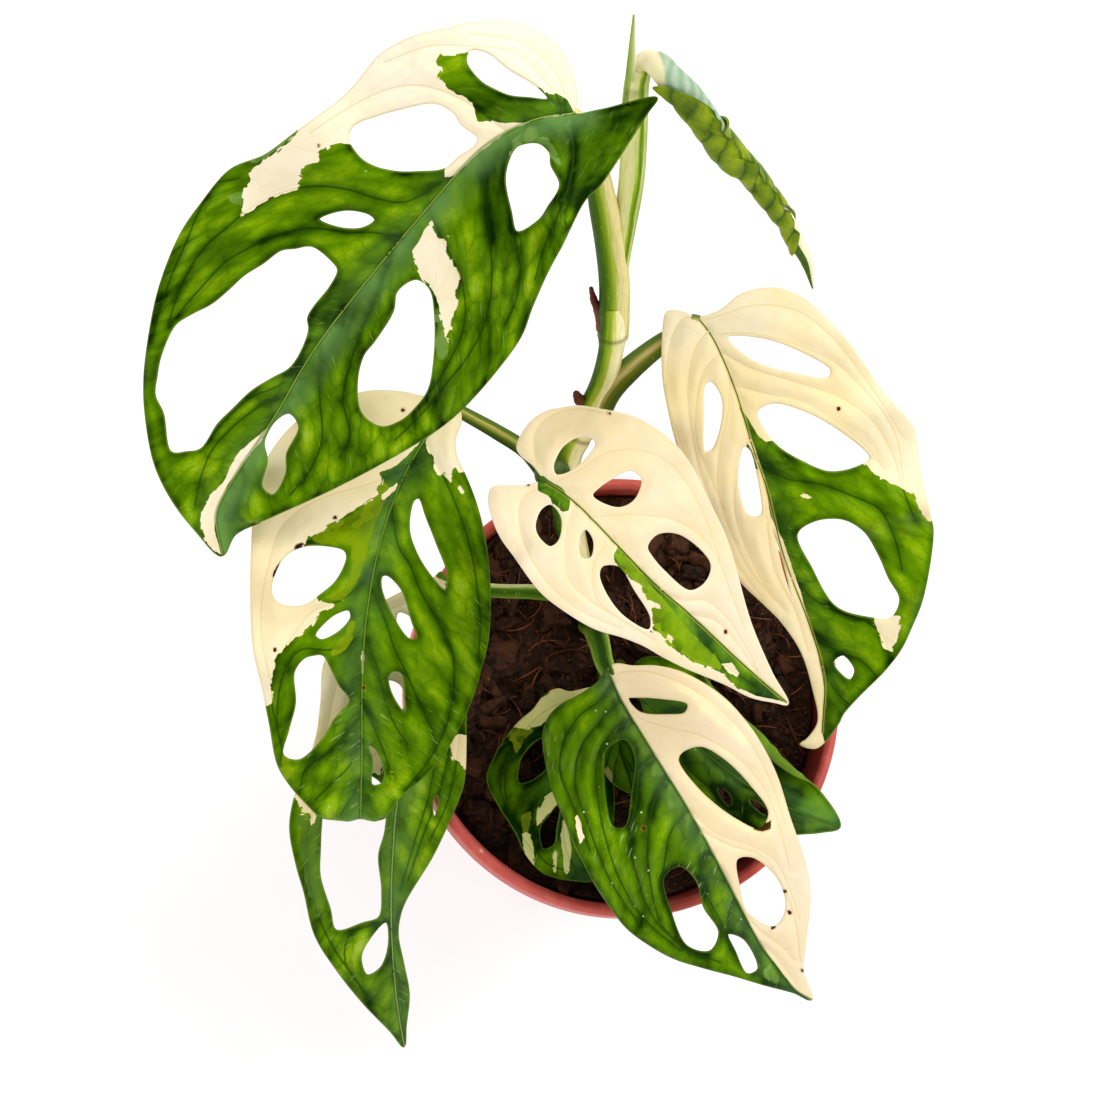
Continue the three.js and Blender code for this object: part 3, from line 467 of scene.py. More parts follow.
def leafSpots(rings, line, veins):  # the pixel points of a blade: outline, midrib, veins and lattice
    step = leafMesh["step"]
    kept = [tuple(p) for ring in rings for p in ring]
    known = findable(kept)

    def take(points, room):
        nonlocal known
        points = np.asarray(points)
        fresh = [p for p in points[inBlade(points, rings)] if known.find((p[0], p[1], 0))[2] > room]
        kept.extend(tuple(p) for p in fresh)
        known = findable(kept)

    ribs = [line[1:-1, :2]]
    for lines, rows, room in ((ribs, leafMesh["ribRows"], 0.7), (veins, leafMesh["veinRows"], 1.1)):
        for middle in lines:
            middle = smoothed(middle[::10] if len(middle) > 60 else middle, step)
            ways = np.gradient(middle, axis=0)
            ways /= np.linalg.norm(ways, axis=1)[:, None]
            beside = np.stack([-ways[:, 1], ways[:, 0]], axis=1)
            for row in rows:
                for side in (-1, 1) if row else (1,):
                    take(middle + beside * row * side * perMm, room)
    low, high = rings[0].min(axis=0), rings[0].max(axis=0)
    lattice = []
    for j, y in enumerate(np.arange(low[1], high[1], step * math.sqrt(3) / 2)):
        for x in np.arange(low[0] + (j % 2) * step / 2, high[0], step):
            lattice.append((x, y))
    take(lattice, step * 0.62)
    return kept


def divideBlade(rings, spots):  # Delaunay triangles over the spots, with the holes left out
    edges = []
    start = 0
    for ring in rings:
        count = len(ring)
        edges += [(start + k, start + (k + 1) % count) for k in range(count)]
        start += count
    found = delaunay_2d_cdt([Vector(p) for p in spots], edges, [], 0, 1e-4)
    points = np.array([tuple(p) for p in found[0]])
    faces = np.array([f for f in found[2] if len(f) == 3])
    faces = faces[inBlade(points[faces].mean(axis=1), rings)]
    a, b, c = (points[faces[:, k]] for k in range(3))
    turn = (b[:, 1] - a[:, 1]) * (c[:, 0] - a[:, 0]) - (b[:, 0] - a[:, 0]) * (c[:, 1] - a[:, 1])
    faces[turn < 0] = faces[turn < 0][:, ::-1]
    used, faces = np.unique(faces, return_inverse=True)
    return points[used], faces.reshape(-1, 3)


def openEdges(faces):
    edges = np.vstack([faces[:, [0, 1]], faces[:, [1, 2]], faces[:, [2, 0]]])
    have = {(a, b) for a, b in edges.tolist()}
    return [(a, b) for a, b in have if (b, a) not in have]


def pointNormals(points, faces):
    a, b, c = (points[faces[:, k]] for k in range(3))
    across = np.cross(b - a, c - a)
    normals = np.zeros_like(points)
    for k in range(3):
        np.add.at(normals, faces[:, k], across)
    return normals / np.maximum(np.linalg.norm(normals, axis=1), 1e-12)[:, None]


def makeBlade(leaf):  # points in mm, faces and the fields that the leaf material reads
    rings = [smoothed(ring, leafMesh["step"], closed=True) for ring in [leaf["margin"], *leaf["holes"]]]
    line = ribLine(leaf["rib"])
    veins = [smoothed(vein, 2 * leafMesh["step"]) for vein in leaf["veins"]]
    flat, faces = divideBlade(rings, leafSpots(rings, line, leaf["veins"]))
    x, y = flat[:, 0], flat[:, 1]
    _, along, across = againstRib(line, x, y)
    ribLength = np.linalg.norm(np.diff(line[1:-1, :2], axis=0), axis=1).sum()
    start = np.linalg.norm(line[1, :2] - line[0, :2])
    ribPart = np.clip((along - start) / ribLength, 0, 1)
    ribAway = np.hypot(np.abs(across), np.maximum(start - along, along - start - ribLength).clip(0)) / perMm
    veinAway = np.full(len(x), 99.0)
    dip = np.zeros(len(x))
    for vein in veins:
        away, run = nearLine(x, y, vein)[:2]
        length = np.linalg.norm(np.diff(vein, axis=0), axis=1).sum()
        strength = 1 - 0.65 * run / length
        veinAway = np.minimum(veinAway, away / perMm)
        dip = np.maximum(dip, strength * np.exp(-(away / perMm / 0.8) ** 2))
    edgeAway = np.full(len(x), 99.0)
    for ring in rings:
        edgeAway = np.minimum(edgeAway, nearLine(x, y, np.vstack([ring, ring[:1]])[::2])[0] / perMm)
    swell = 1 - np.exp(-(np.minimum(veinAway, ribAway) / 3.2) ** 2)
    lumps = np.array([noise.noise((px / 30, py / 30, leafMesh["seed"])) for px, py in flat])
    small = np.array([noise.noise((px / 13, py / 13, leafMesh["seed"])) for px, py in flat])
    rough = leafMesh["quilt"] * swell * (1 + 0.9 * lumps) + leafMesh["smallLumps"] * swell * small
    quilt = leaf.get("quilt", 1) * (rough - leafMesh["veinDip"] * dip)
    quilt *= between(edgeAway, 0, 2.5)
    bentX, bentY, lift = turnEdge(leaf, x, y)
    points = sight(bentX, bentY, bladeHeight(leaf, line, bentX, bentY) + lift)
    normals = pointNormals(points, faces)
    radius = (leafMesh["ribRadius"][0] + (leafMesh["ribRadius"][1] - leafMesh["ribRadius"][0]) * ribPart)
    radius *= leaf["ribScale"]
    groove = -0.34 * np.exp(-(ribAway / 0.9) ** 2) + 0.26 * np.exp(-(ribAway / 0.3) ** 2)
    keel = np.sqrt(np.maximum(radius ** 2 - ribAway ** 2, 0)) + 0.25 * dip
    upper = points + normals * (leafMesh["half"] + quilt + groove * (1 - 0.6 * ribPart))[:, None]
    lower = points + normals * (quilt - leafMesh["half"] - keel)[:, None]
    rim = openEdges(faces)
    outward = np.zeros_like(points)
    for a, b in rim:
        away = np.cross(points[b] - points[a], normals[a])
        outward[a] += away
        outward[b] += away
    edge = np.unique(np.array(rim))
    outward = outward[edge] / np.maximum(np.linalg.norm(outward[edge], axis=1), 1e-12)[:, None]
    middle = (upper[edge] + lower[edge]) / 2 + outward * leafMesh["half"] * 0.8
    count = len(points)
    place = {v: 2 * count + i for i, v in enumerate(edge.tolist())}
    skin = [*faces.tolist(), *(faces[:, ::-1] + count).tolist()]
    for a, b in rim:
        skin.append((b, a, place[a], place[b]))
        skin.append((place[b], place[a], a + count, b + count))
    fields = {
        "cream": depthIn(x, y, leaf["cream"]),
        "pale": depthIn(x, y, leaf.get("pale", [])),
        "dim": depthIn(x, y, leaf.get("dim", [])),
        "burn": depthIn(x, y, leaf.get("burnt", [])),
        "vein": veinAway,
        "rib": ribAway,
        "edge": edgeAway,
        "across": across / perMm,
        "flow": (along - leafMesh["flowSlope"] * np.abs(across)) / perMm
        - leafMesh["flowBend"] * (across / perMm) ** 2,
    }
    if "green" in leaf:
        fields["cream"] = np.minimum(fields["cream"], -depthIn(x, y, leaf["green"]))
    if "creamIn" in leaf:
        fields["cream"] = np.maximum(fields["cream"], depthIn(x, y, leaf["creamIn"]))
    fields = {name: np.concatenate([v, v, v[edge]]) for name, v in fields.items()}
    fields["under"] = np.concatenate([np.zeros(count), np.ones(count), np.full(len(edge), 0.5)])
    return np.vstack([upper, lower, middle]), skin, fields


def stalkSection(radii, sides, groove=0.0, wing=0.0):
    def section(t):
        radius = np.interp(t, np.linspace(0, 1, len(radii)), radii)
        angle = np.arange(sides) / sides * 2 * math.pi
        across = radius * np.cos(angle)
        out = radius * np.sin(angle)
        hollow = np.exp(-(across / radius / 0.55) ** 2) * (out > 0)
        return across * (1 + wing * np.abs(np.cos(angle)) ** 3), out - groove * radius * hollow
    return section


def makePetiole(leaf):
    base, after = np.array(leaf["rib"][0], float), np.array(leaf["rib"][1], float)
    start = base + (after - base) * 9 / np.linalg.norm((after - base)[:2])
    start[2] -= leaf["petioleRadius"][0] * 0.8
    path = evenPath([start, *leaf["petiole"]], 0.8)
    radii = [leaf["petioleRadius"][0] * 0.7, *leaf["petioleRadius"]]
    radii = np.interp(np.linspace(0, 1, 24), [0, *np.linspace(0.1, 1, len(radii) - 1)], radii)
    section = stalkSection(radii, 28, leaf.get("groove", 0.12), leaf.get("wing", 0))
    return sweep(path, section)


def makeLeaf(name, leaf):
    parts = [(*makeBlade(leaf), 0), (*makePetiole(leaf), 1)]
    points, faces, fields, which = joinParts(parts)
    materials = (leafMaterial(name, leaf["look"]), stalkMaterial(name + " petiole", leaf["stripes"]))
    label = name[:4] + "." + name[4:]
    newPiece(label, points, faces, fields, name, materials, which)


leafFinish = {
    "blister": (6.4, 5.4),  # mm across and along the side veins
    "streak": (3.2, 7.0),
    "highlightStroke": (0.7, 4.5),
    "band": (12.0, 15.0),
    "blisterDepth": 0.00024,
    # how much the cream parts glow, painted light
    "paleGlow": 0.06,
    "sheenTint": (222, 255, 120),
}


def alongVeins(size):  # places that follow the side veins, counted in features of a size in mm
    across = field("across")
    return addNode("CombineXYZ", {
        0: calc("DIVIDE", field("flow"), size[0]),
        1: calc("DIVIDE", calc("ABSOLUTE", across), size[1]),
        2: times(calc("SIGN", across), 7.0),
    }).outputs[0]


def leafMaterial(name, look):
    material = newMaterial(name)
    where = spot()
    band = cloud(1.0, 3.0, 0.5, alongVeins(leafFinish["band"]))
    streak = cloud(1.0, 4.0, 0.65, alongVeins(leafFinish["streak"]))
    patchy = cloud(24.0, 1.0, 0.5, where)
    fine = cloud(330.0, 4.0, 0.6, where)
    grain = cloud(1700.0, 2.0, 0.6, where)
    loose = warp(alongVeins(leafFinish["blister"]), 1.3, 0.6)
    hill = fade(cells(1.0, "F1", loose).outputs["Distance"], 0.1, 0.75, 1.0, 0.0)
    crease = fade(cells(1.0, "DISTANCE_TO_EDGE", loose).outputs["Distance"], 0.0, 0.06, 1.0, 0.0)
    net = cells(3.2, "DISTANCE_TO_EDGE", loose).outputs["Distance"]
    steps = cells(400.0, "F1", where)
    away = {key: field(key) for key in ("cream", "pale", "dim", "burn", "vein", "rib", "edge", "under")}
    # How strongly the blisters get painted light at their middles and painted shade in their creases, patch
    # by patch.
    blisterShading = fade(patchy, 0.3, 0.65, look["mottle"] * 0.35, look["mottle"])

    def tint(key):
        return srgb(*look[key])

    def strayed(key, amount):  # a patch's depth, shifted cell by cell along the net of veins
        stray = centred(streak, amount, away[key])
        stray = centred(fine, amount, centred(steps.outputs["Color"], amount, stray))
        return blend1(fade(away["rib"], 0.6, 7.0, 0.25, 1.0), away[key], stray)

    tone = centred(band, look["bands"], look["tone"])
    tone = centred(streak, 0.14, tone)
    # Painted shade over traced patches of the blade that lie in shade, with less blister light there.
    inShadePatch = fade(centred(band, 5.0, away["dim"]), -2.5, 3.0)
    # Painted light on the middles of the blisters.
    tone = centred(hill, times(blisterShading, scaled(inShadePatch, -0.8, 1.0)), tone)
    tone = centred(fine, 0.2, tone)
    # Painted shade: the blade is darker beside the midrib, the side veins and the edges, where its creases
    # lie in shade.
    for key, near, far, shade in (
        ("rib", 0.5, look["shadeWidth"], look["ribShade"]), ("vein", 0.1, 2.4, look["veinShade"]),
        ("edge", 0.2, 2.4, look["edgeShade"]),
    ):
        tone = calc("ADD", tone, fade(away[key], near, far, -shade, 0.0))
    tone = scaled(inShadePatch, -look["shadePatchDarkness"], tone)
    shades = (0.08, "dark"), (0.45, "mid"), (0.7, "bright"), (1.0, "brightest")
    green = ramp(tone, [(at, tint(key)) for at, key in shades])
    mesh = times(fade(net, 0.02, 0.14, 0.16, 0.0), fade(tone, 0.35, 0.6))
    # Painted sheen beside the midrib, a painted reflection, stronger on one side of it.
    right = fade(field("across"), -0.1, 0.1, look["paintedSheen"][1], look["paintedSheen"][0])
    sheen = times(fade(away["rib"], 0.3, look["shadeWidth"] * 1.2, 1.0, 0.0), right)
    sheen = times(sheen, fade(cloud(90.0, 3.0, 0.5, where), 0.35, 0.6, 0.4, 1.0))
    # Paler patches: partly the leaf's own pale green, partly painted light and painted sheen on lit parts of
    # the blade.
    paleAndLit = fade(steps.outputs["Color"], 0.2, 0.7, look["paleness"] * 0.5, look["paleness"])
    paleAndLit = times(fade(strayed("pale", 1.0), -0.15, 0.15), paleAndLit)
    nearCream = fade(strayed("cream", look["tear"] * 1.6), -0.1, 0.1, 0.0, 0.5)
    # Painted highlights: light strokes along the side veins, in the colour of the dust flecks.
    highlightStroke = cloud(1.0, 2.0, 0.5, alongVeins(leafFinish["highlightStroke"]))
    highlightStroke = times(fade(highlightStroke, 0.62, 0.74, 0.0, look["highlightStroke"]), fade(patchy, 0.45, 0.6))
    fleckAndHighlight = specks(330.0, 0.05, 0.13, 0.85, look["fleckFrom"], 0.02, where)
    below = fade(away["under"], 0.55, 0.9)
    green = paint(green, [
        # The first coat is painted shade in the creases between the blisters.
        (times(crease, times(blisterShading, 0.8)), tint("dark")), (mesh, tint("veinColour")),
        (fade(away["vein"], 0.1, 0.42, 0.66, 0.0), tint("veinColour")), (sheen, tint("paintedSheenColour")),
        (paleAndLit, tint("pale")), (nearCream, tint("fringe")), (highlightStroke, tint("fleckAndHighlight")), (fleckAndHighlight, tint("fleckAndHighlight")),
        (fade(away["edge"], 0.06, 0.22, 0.5, 0.0), tint("edge")), (times(below, 0.55), tint("under")),
    ])

    # Vein lines on the cream, with faint painted shade in the creases between the blisters.
    creamVein = calc("MAXIMUM", fade(away["vein"], 0.06, 0.34, 0.5, 0.0), times(crease, 0.12))
    cream = paint(tint("cream"), [
        (fade(cloud(26.0, 2.0, 0.5, where), 0.3, 0.7), tint("creamWarm")),
        (fade(cloud(75.0, 3.0, 0.5, where), 0.45, 0.75, 0.0, 0.28), tint("blush")),
        (creamVein, tint("creamVein")), (specks(95.0, 0.02, 0.05, 0.7, 0.84, 0.02, where), tint("speck")),
        (fade(away["edge"], 0.08, 0.5, 0.45, 0.0), tint("creamEdge")),
    ])

    isCream = fade(strayed("cream", look["tear"]), -0.05, 0.05)
    width = look["ribWidth"]
    scorch = strayed("burn", 0.4)
    colour = paint(blend(isCream, green, cream), [
        (fade(away["rib"], width, width * 2.4, 0.5, 0.0), tint("besideRib")),
        (fade(away["rib"], width * 0.4, width * 0.8, 0.9, 0.0), tint("rib")),
        (fade(scorch, -0.5, 0.0, 0.0, 0.35), tint("singed")), (fade(scorch, -0.1, 0.1), tint("burnt")),
    ])
    height = scaled(streak, 0.25, scaled(grain, 0.05, times(hill, look["mottle"] * 1.2)))
    rough = scaled(below, 0.25, scaled(fine, 0.2, look["gloss"]))
    surface(colour, rough, height, leafFinish["blisterDepth"], look["shine"])
    # Painted light: the cream parts glow a little, so they stay bright in shade.
    plug(blend(isCream, (0, 0, 0, 1), colour), shader.inputs["Emission Color"])
    shader.inputs["Emission Strength"].default_value = leafFinish["paleGlow"]
    shader.inputs["Specular Tint"].default_value = srgb(*leafFinish["sheenTint"])
    return material


def stalkMaterial(name, stripes):  # stripes are (place across, colour), seen from the eye
    material = newMaterial(name)
    where = spot()
    across = scaled(field("side"), -0.5, 0.5)
    lengthwise = addNode("CombineXYZ", {
        0: times(field("side"), 3.2), 1: times(field("run"), 0.045), 2: times(field("face"), 1.2),
    }).outputs[0]
    streak = cloud(1.6, 4.0, 0.6, lengthwise)
    fine = cloud(420.0, 3.0, 0.6, where)
    place = centred(fine, 0.04, centred(streak, 0.3, across))
    colour = paint(ramp(place, [(at, srgb(*rgb)) for at, rgb in stripes]), [
        (fade(cloud(5.0, 3.0, 0.7, lengthwise), 0.52, 0.64, 0.0, 0.22), srgb(104, 124, 34)),  # threads
        (fade(field("face"), -0.8, -0.1, 0.5, 0.0), srgb(92, 116, 40)),  # painted shade, darker on the side away from the eye
        (specks(700.0, 0.1, 0.25, 0.3, 0.66, 0.04, where), srgb(206, 206, 150)),
    ])
    height = calc("ADD", cloud(900.0, 4.0, 0.6, where), times(streak, 2.0))
    surface(colour, scaled(fine, 0.3, 0.36), height, 0.0001, 0.3)
    shader.inputs["Specular Tint"].default_value = srgb(236, 255, 170)
    return material


palette = {
    "dark": (10, 44, 0), "mid": (94, 134, 0), "bright": (142, 176, 14), "brightest": (186, 208, 96),
    # Among these: painted shade beside the midrib, veins and edges and over traced patches, a painted sheen
    # beside the midrib, painted highlight strokes and lit pale patches.
    "tone": 0.54, "shadePatchDarkness": 0.27, "bands": 1.15, "mottle": 0.27,
    "ribShade": 0.16, "shadeWidth": 8.0, "veinShade": 0.17, "edgeShade": 0.2,
    "tear": 1.3, "veinColour": (24, 62, 4), "paintedSheen": (0.25, 0.5), "paintedSheenColour": (108, 150, 92),
    "pale": (128, 160, 84), "paleness": 0.8, "fringe": (116, 142, 32),
    "fleckAndHighlight": (176, 196, 126), "fleckFrom": 0.9, "highlightStroke": 0.3,
    "edge": (122, 150, 54),
    "cream": (241, 229, 203), "creamWarm": (237, 218, 174), "blush": (236, 217, 192),
    "creamVein": (214, 190, 136), "creamEdge": (222, 203, 156),
    "rib": (140, 164, 60), "besideRib": (28, 68, 8), "ribWidth": 0.3,
    "under": (150, 178, 104), "speck": (150, 104, 66), "singed": (170, 110, 60), "burnt": (58, 28, 20),
    "gloss": 0.32, "shine": 0.12,
}

leafA = {
    "ribScale": 1.35,
    "form": {
      "rise": 0.14, "droop": 0.0045, "roll": 0.03,
      "wave": {"length": 125, "phase": 0.4, "height": 1.5},
    },
    "rib": trace("""
      575,113,231 540,118,231 510,130,228.5 480,150,224 430,205,213 365,283,196 314,350,182 273,419,168
      232,481,156 216,515,150 222,554,144
    """),
    "petiole": trace("""
      575,115,229.5 583,133,224 594,160,214 603,204,199 611,250,185 614.5,286,175 614,319,166 613,335,161
    """),
    "petioleRadius": [2.2, 2.9, 3.7, 3.9, 4, 4.1],
    "margin": trace("""
      575,113 577,100 572,75 560,50 540,33 515,24 480,22 450,28 410,38 380,55 355,85 340,100 320,115
      295,133 265,155 230,170 200,205 180,235 160,285 150,330 144,380 146,420 155,465 172,500 195,530
      222,556 235,535 260,522 330,490 380,464 426,437 446,423 466,405 496,371 521,336 532,307 548,271
      562,245 585,200 600,185 630,140 648,112 657,98 600,110
    """),
    "holes": traces("""
      466,61 470,50 487,52 509,69 537,86 548,99 529,98 510,96 495,90 480,81;
      348,138 354,125 375,116 400,109 434,103 453,112 462,125 478,138 474,147 460,156 445,169 418,172
        398,172 375,167 360,158;
      319,219 344,210 369,214 375,220 363,228 340,228;
      295,248 312,246 333,262 338,270 330,287 314,307 308,318 309,330 299,356 289,369 273,378 252,391
        232,410 218,424 201,449 187,452 171,452 163,413 155,395 157,375 161,355 175,325 191,314 212,303
        232,286 244,275 263,263 281,250;
      514,149 522,144 539,143 550,153 551,164 560,185 548,207 539,220 517,232 511,212 505,176;
      416,279 430,289 435,316 434,361 428,391 412,412 401,421 381,427 361,413 357,383 363,356 375,340
        393,311 397,291;
      289,413 299,427 287,454 286,474 273,495 262,487 267,460 264,442 273,423
    """),
    "veins": traces("""
      505,130 470,104 440,90 415,85 385,90 350,107 310,133;
      562,113 556,95 540,75 515,52 480,47 430,46 385,62;
      565,112 562,85 545,60 515,40 470,33;
      462,170 440,183 405,202 375,198 350,190 320,186 290,190 255,205 230,225 205,247 188,272 178,295
        168,325;
      400,240 378,233 345,232 310,228 275,236 245,250 225,262 208,280 192,298 178,315;
      240,178 215,185 200,210 185,245 172,275 160,310 152,340;
      285,395 262,405 235,425 212,450 200,480 195,505;
      300,368 280,385 250,398 225,420 205,445;
      560,116 570,130 574,150 570,180 558,215 545,245 535,280;
      478,152 484,175 486,200 490,240 492,270 490,300 482,330 465,360 445,385 425,410 395,440;
      525,126 512,150 510,200 515,240 520,270 516,300 505,325;
      428,208 440,235 455,265 465,300 463,330 450,360 435,385 415,410;
      345,308 332,340 320,365 320,400 322,440 310,470 290,495;
      395,243 385,270 375,300 360,335 350,365 343,400 350,435 340,458;
      240,465 245,480 238,500 228,520
    """),
    "cream": traces("""
      297,131 290,142 280,148 268,160 258,165 250,175 252,181 245,190 241,216 260,205 283,192 297,188
        301,181 308,180 300,172 302,166 320,160 322,150 330,146 340,144 349,144 360,150 446,168 442,178
        455,176 480,152 508,131 540,119 575,113.5 585,100 580,60 555,20 500,8 440,12 380,30 340,75 297,110;
      432,220 435,230 439,238 448,237 448,252 453,262 459,280 457,300 451,325 449,343 442,323 439,307
        433,290 423,279 414,257 412,250 421,239 426,227;
      270,425 262,432 245,445 232,462 226,478 210,495 201,512 200,527 207,545 222,556 214,530 217,510
        228,485 245,462 262,440
    """),
    "green": traces("""
      438,60 441,54 467,53 475,60 500,75 530,90 534,84 545,95 549,91 556,93 566,99 574,113 556,115 530,122
        500,123 480,120 473,112 472,104 455,93 445,83 439,80 443,70 439,62
    """),
    "pale": traces("""
      510,155 513,140 530,126 536,128 538,136 548,140 555,150 560,168 553,160 546,146 530,140 518,146
        512,156;
      433,300 440,310 448,335 449,350 443,362 435,350 437,325;
      229,199 236,193 243,192 245,200 242,207 233,204;
      297,131 283,139 262,152 250,160 258,163 280,148
    """),
    # parts of the blade given painted shade
    "dim": traces("""
      470,160 520,125 575,115 655,97 612,165 580,225 562,205 560,165 540,130 512,140 503,200 515,240
        505,270 480,230 462,195;
      290,395 330,330 365,290 390,260 365,320 330,375 305,400
    """),
    "burnt": traces("319,143 322,144 321,147 318,146"),
    "groove": 0.25,
    "look": {
      **palette, "rib": (150, 172, 78), "mottle": 0.28, "paintedSheen": (0.2, 0.85), "tone": 0.52, "bands": 1.05,
      "paintedSheenColour": (116, 156, 88), "cream": (246, 236, 212), "creamWarm": (242, 226, 188),
    },
    "stripes": [
      (0.0, (36, 76, 4)), (0.22, (74, 114, 8)), (0.4, (140, 166, 36)), (0.54, (190, 200, 84)),
      (0.66, (244, 230, 170)), (0.88, (244, 226, 160)), (1.0, (206, 192, 118)),
    ],
}
makeLeaf("leafA", leafA)

leafB = {
    "ribScale": 1.1,
    "form": {"rise": 0.16, "droop": 0.007, "roll": 0.02, "wave": {"length": 80, "phase": 2, "height": 1.8}},
    "rib": trace("""
      447,406,152 425,439,152.5 404,476,151 385,526,148 373,575,145 365,631,140 362,690,134 362,750,127
      361,800,120 360,850,113
    """),
    "petiole": trace("449,405,150.5 463,413,149 497,432,145 526,451,140 546,476,133 568,505,124"),
    "petioleRadius": [1.7, 2.1, 2.2, 2.6],
    "margin": trace("""
      447,406 436,398 420,396 408,393 390,391 365,392 328,405 298,421 268,458 255,500 252,545 251,600
      254,650 263,690 270,725 278,765 290,785 305,802 322,820 338,838 352,856 366,872 372,852 378,836
      388,815 400,797 420,780 440,760 455,735 465,715 475,690 482,665 488,640 490,600 488,560 483,530
      475,500 465,475 457,458 455,440 461,420 458,407
    """),
    "holes": traces("""
      304,546 321,545 344,550 347,557 337,580 323,593 302,606 278,603 271,590 280,562 290,552;
      349,610 351,617 340,631 321,640 315,635 326,621 337,613;
      313,655 323,655 333,672 340,686 350,700 335,719 323,739 299,760 283,755 288,731 295,703 294,672
        304,658;
      414,500 419,498 426,516 437,544 448,576 445,590 430,575 416,552 409,528;
      382,576 387,575 402,590 412,621 417,638 409,639 392,615 381,587;
      388,676 393,671 402,673 405,698 405,713 392,695;
      368,745 375,748 385,772 381,784 372,785 372,760
    """),
    "turned": [{"from": [410, 806], "to": [310, 806], "radius": 3.4, "turn": -150}],
    "veins": traces("""
      412,462 385,478 355,488 325,497 300,510 280,530 270,560 262,600 262,640 270,680;
      404,478 385,500 360,517 340,527 320,535 308,542;
      375,560 355,590 335,603 312,612 290,640 275,665 272,700 280,740;
      366,620 350,645 330,650 300,650 285,670 278,700 278,730 285,760;
      362,715 345,735 325,755 305,770 300,790;
      361,740 350,765 330,785 315,800;
      361,780 350,800 340,815;
      425,439 435,462 445,480 458,510 468,540 476,580 480,620 478,660;
      392,510 398,545 410,565 420,590 440,625 452,650 454,685 450,712 440,740 425,765 405,790;
      372,590 385,620 395,650 405,670 418,700 432,730 436,745;
      363,700 375,730 385,755 392,775;
      366,640 378,670 385,700 395,725 408,745
    """),
    "cream": traces("""
      411,452 395,466 379,474 383,478 382,484 377,489 379,494 368,501 363,505 347,516 325,526 322,531
        309,537 306,545 304,560 319,600 333,605 327,610 316,618 313,625 300,636 290,641 283,651 276,657
        273,677 271,702 268,704 240,700 235,600 240,500 260,440 300,405 350,378 400,378 440,390 449,404
        430,430;
      447,404 425,441 428,452 433,457 434,470 439,474 443,471 450,482 452,470 455,468 457,474 466,474
        475,440 468,400;
      455,480 462,490 465,500 458,490;
      398,482 396,490 384,499 380,500 383,494;
      361,650 364,650 364,675 361,675
    """),
    "pale": traces("""
      378,476 362,506 325,528 308,542 350,546 350,580 325,598 345,600 360,575 372,530 390,490;
      333,655 345,650 352,640 355,622 350,618 345,635 330,652;
      283,755 290,760 291,775 287,780 281,768;
      392,790 396,775 389,770 391,780 384,797 398,783
    """),
    "burnt": traces("""
      293,549 297,545 303,543 304,546 297,550;
      273,575 276,567 281,561 282,564 277,572 275,580;
      273,648 277,648 277,652 273,652;
      333,515 337,515 337,519 333,519;
      400,409 404,409 404,413 400,413;
      362,685 365,685 365,690 362,690
    """),
    "look": {
      **palette, "pale": (140, 160, 16), "rib": (124, 150, 60), "paleness": 0.75, "tone": 0.545,
      "highlightStroke": 0.55, "mottle": 0.22, "paintedSheen": (0.4, 0.2),
    },
    "stripes": [
      (0.0, (44, 64, 14)), (0.25, (84, 108, 26)), (0.45, (150, 150, 66)), (0.6, (198, 188, 116)),
      (0.75, (104, 128, 34)), (1.0, (58, 88, 18)),
    ],
}
makeLeaf("leafB", leafB)

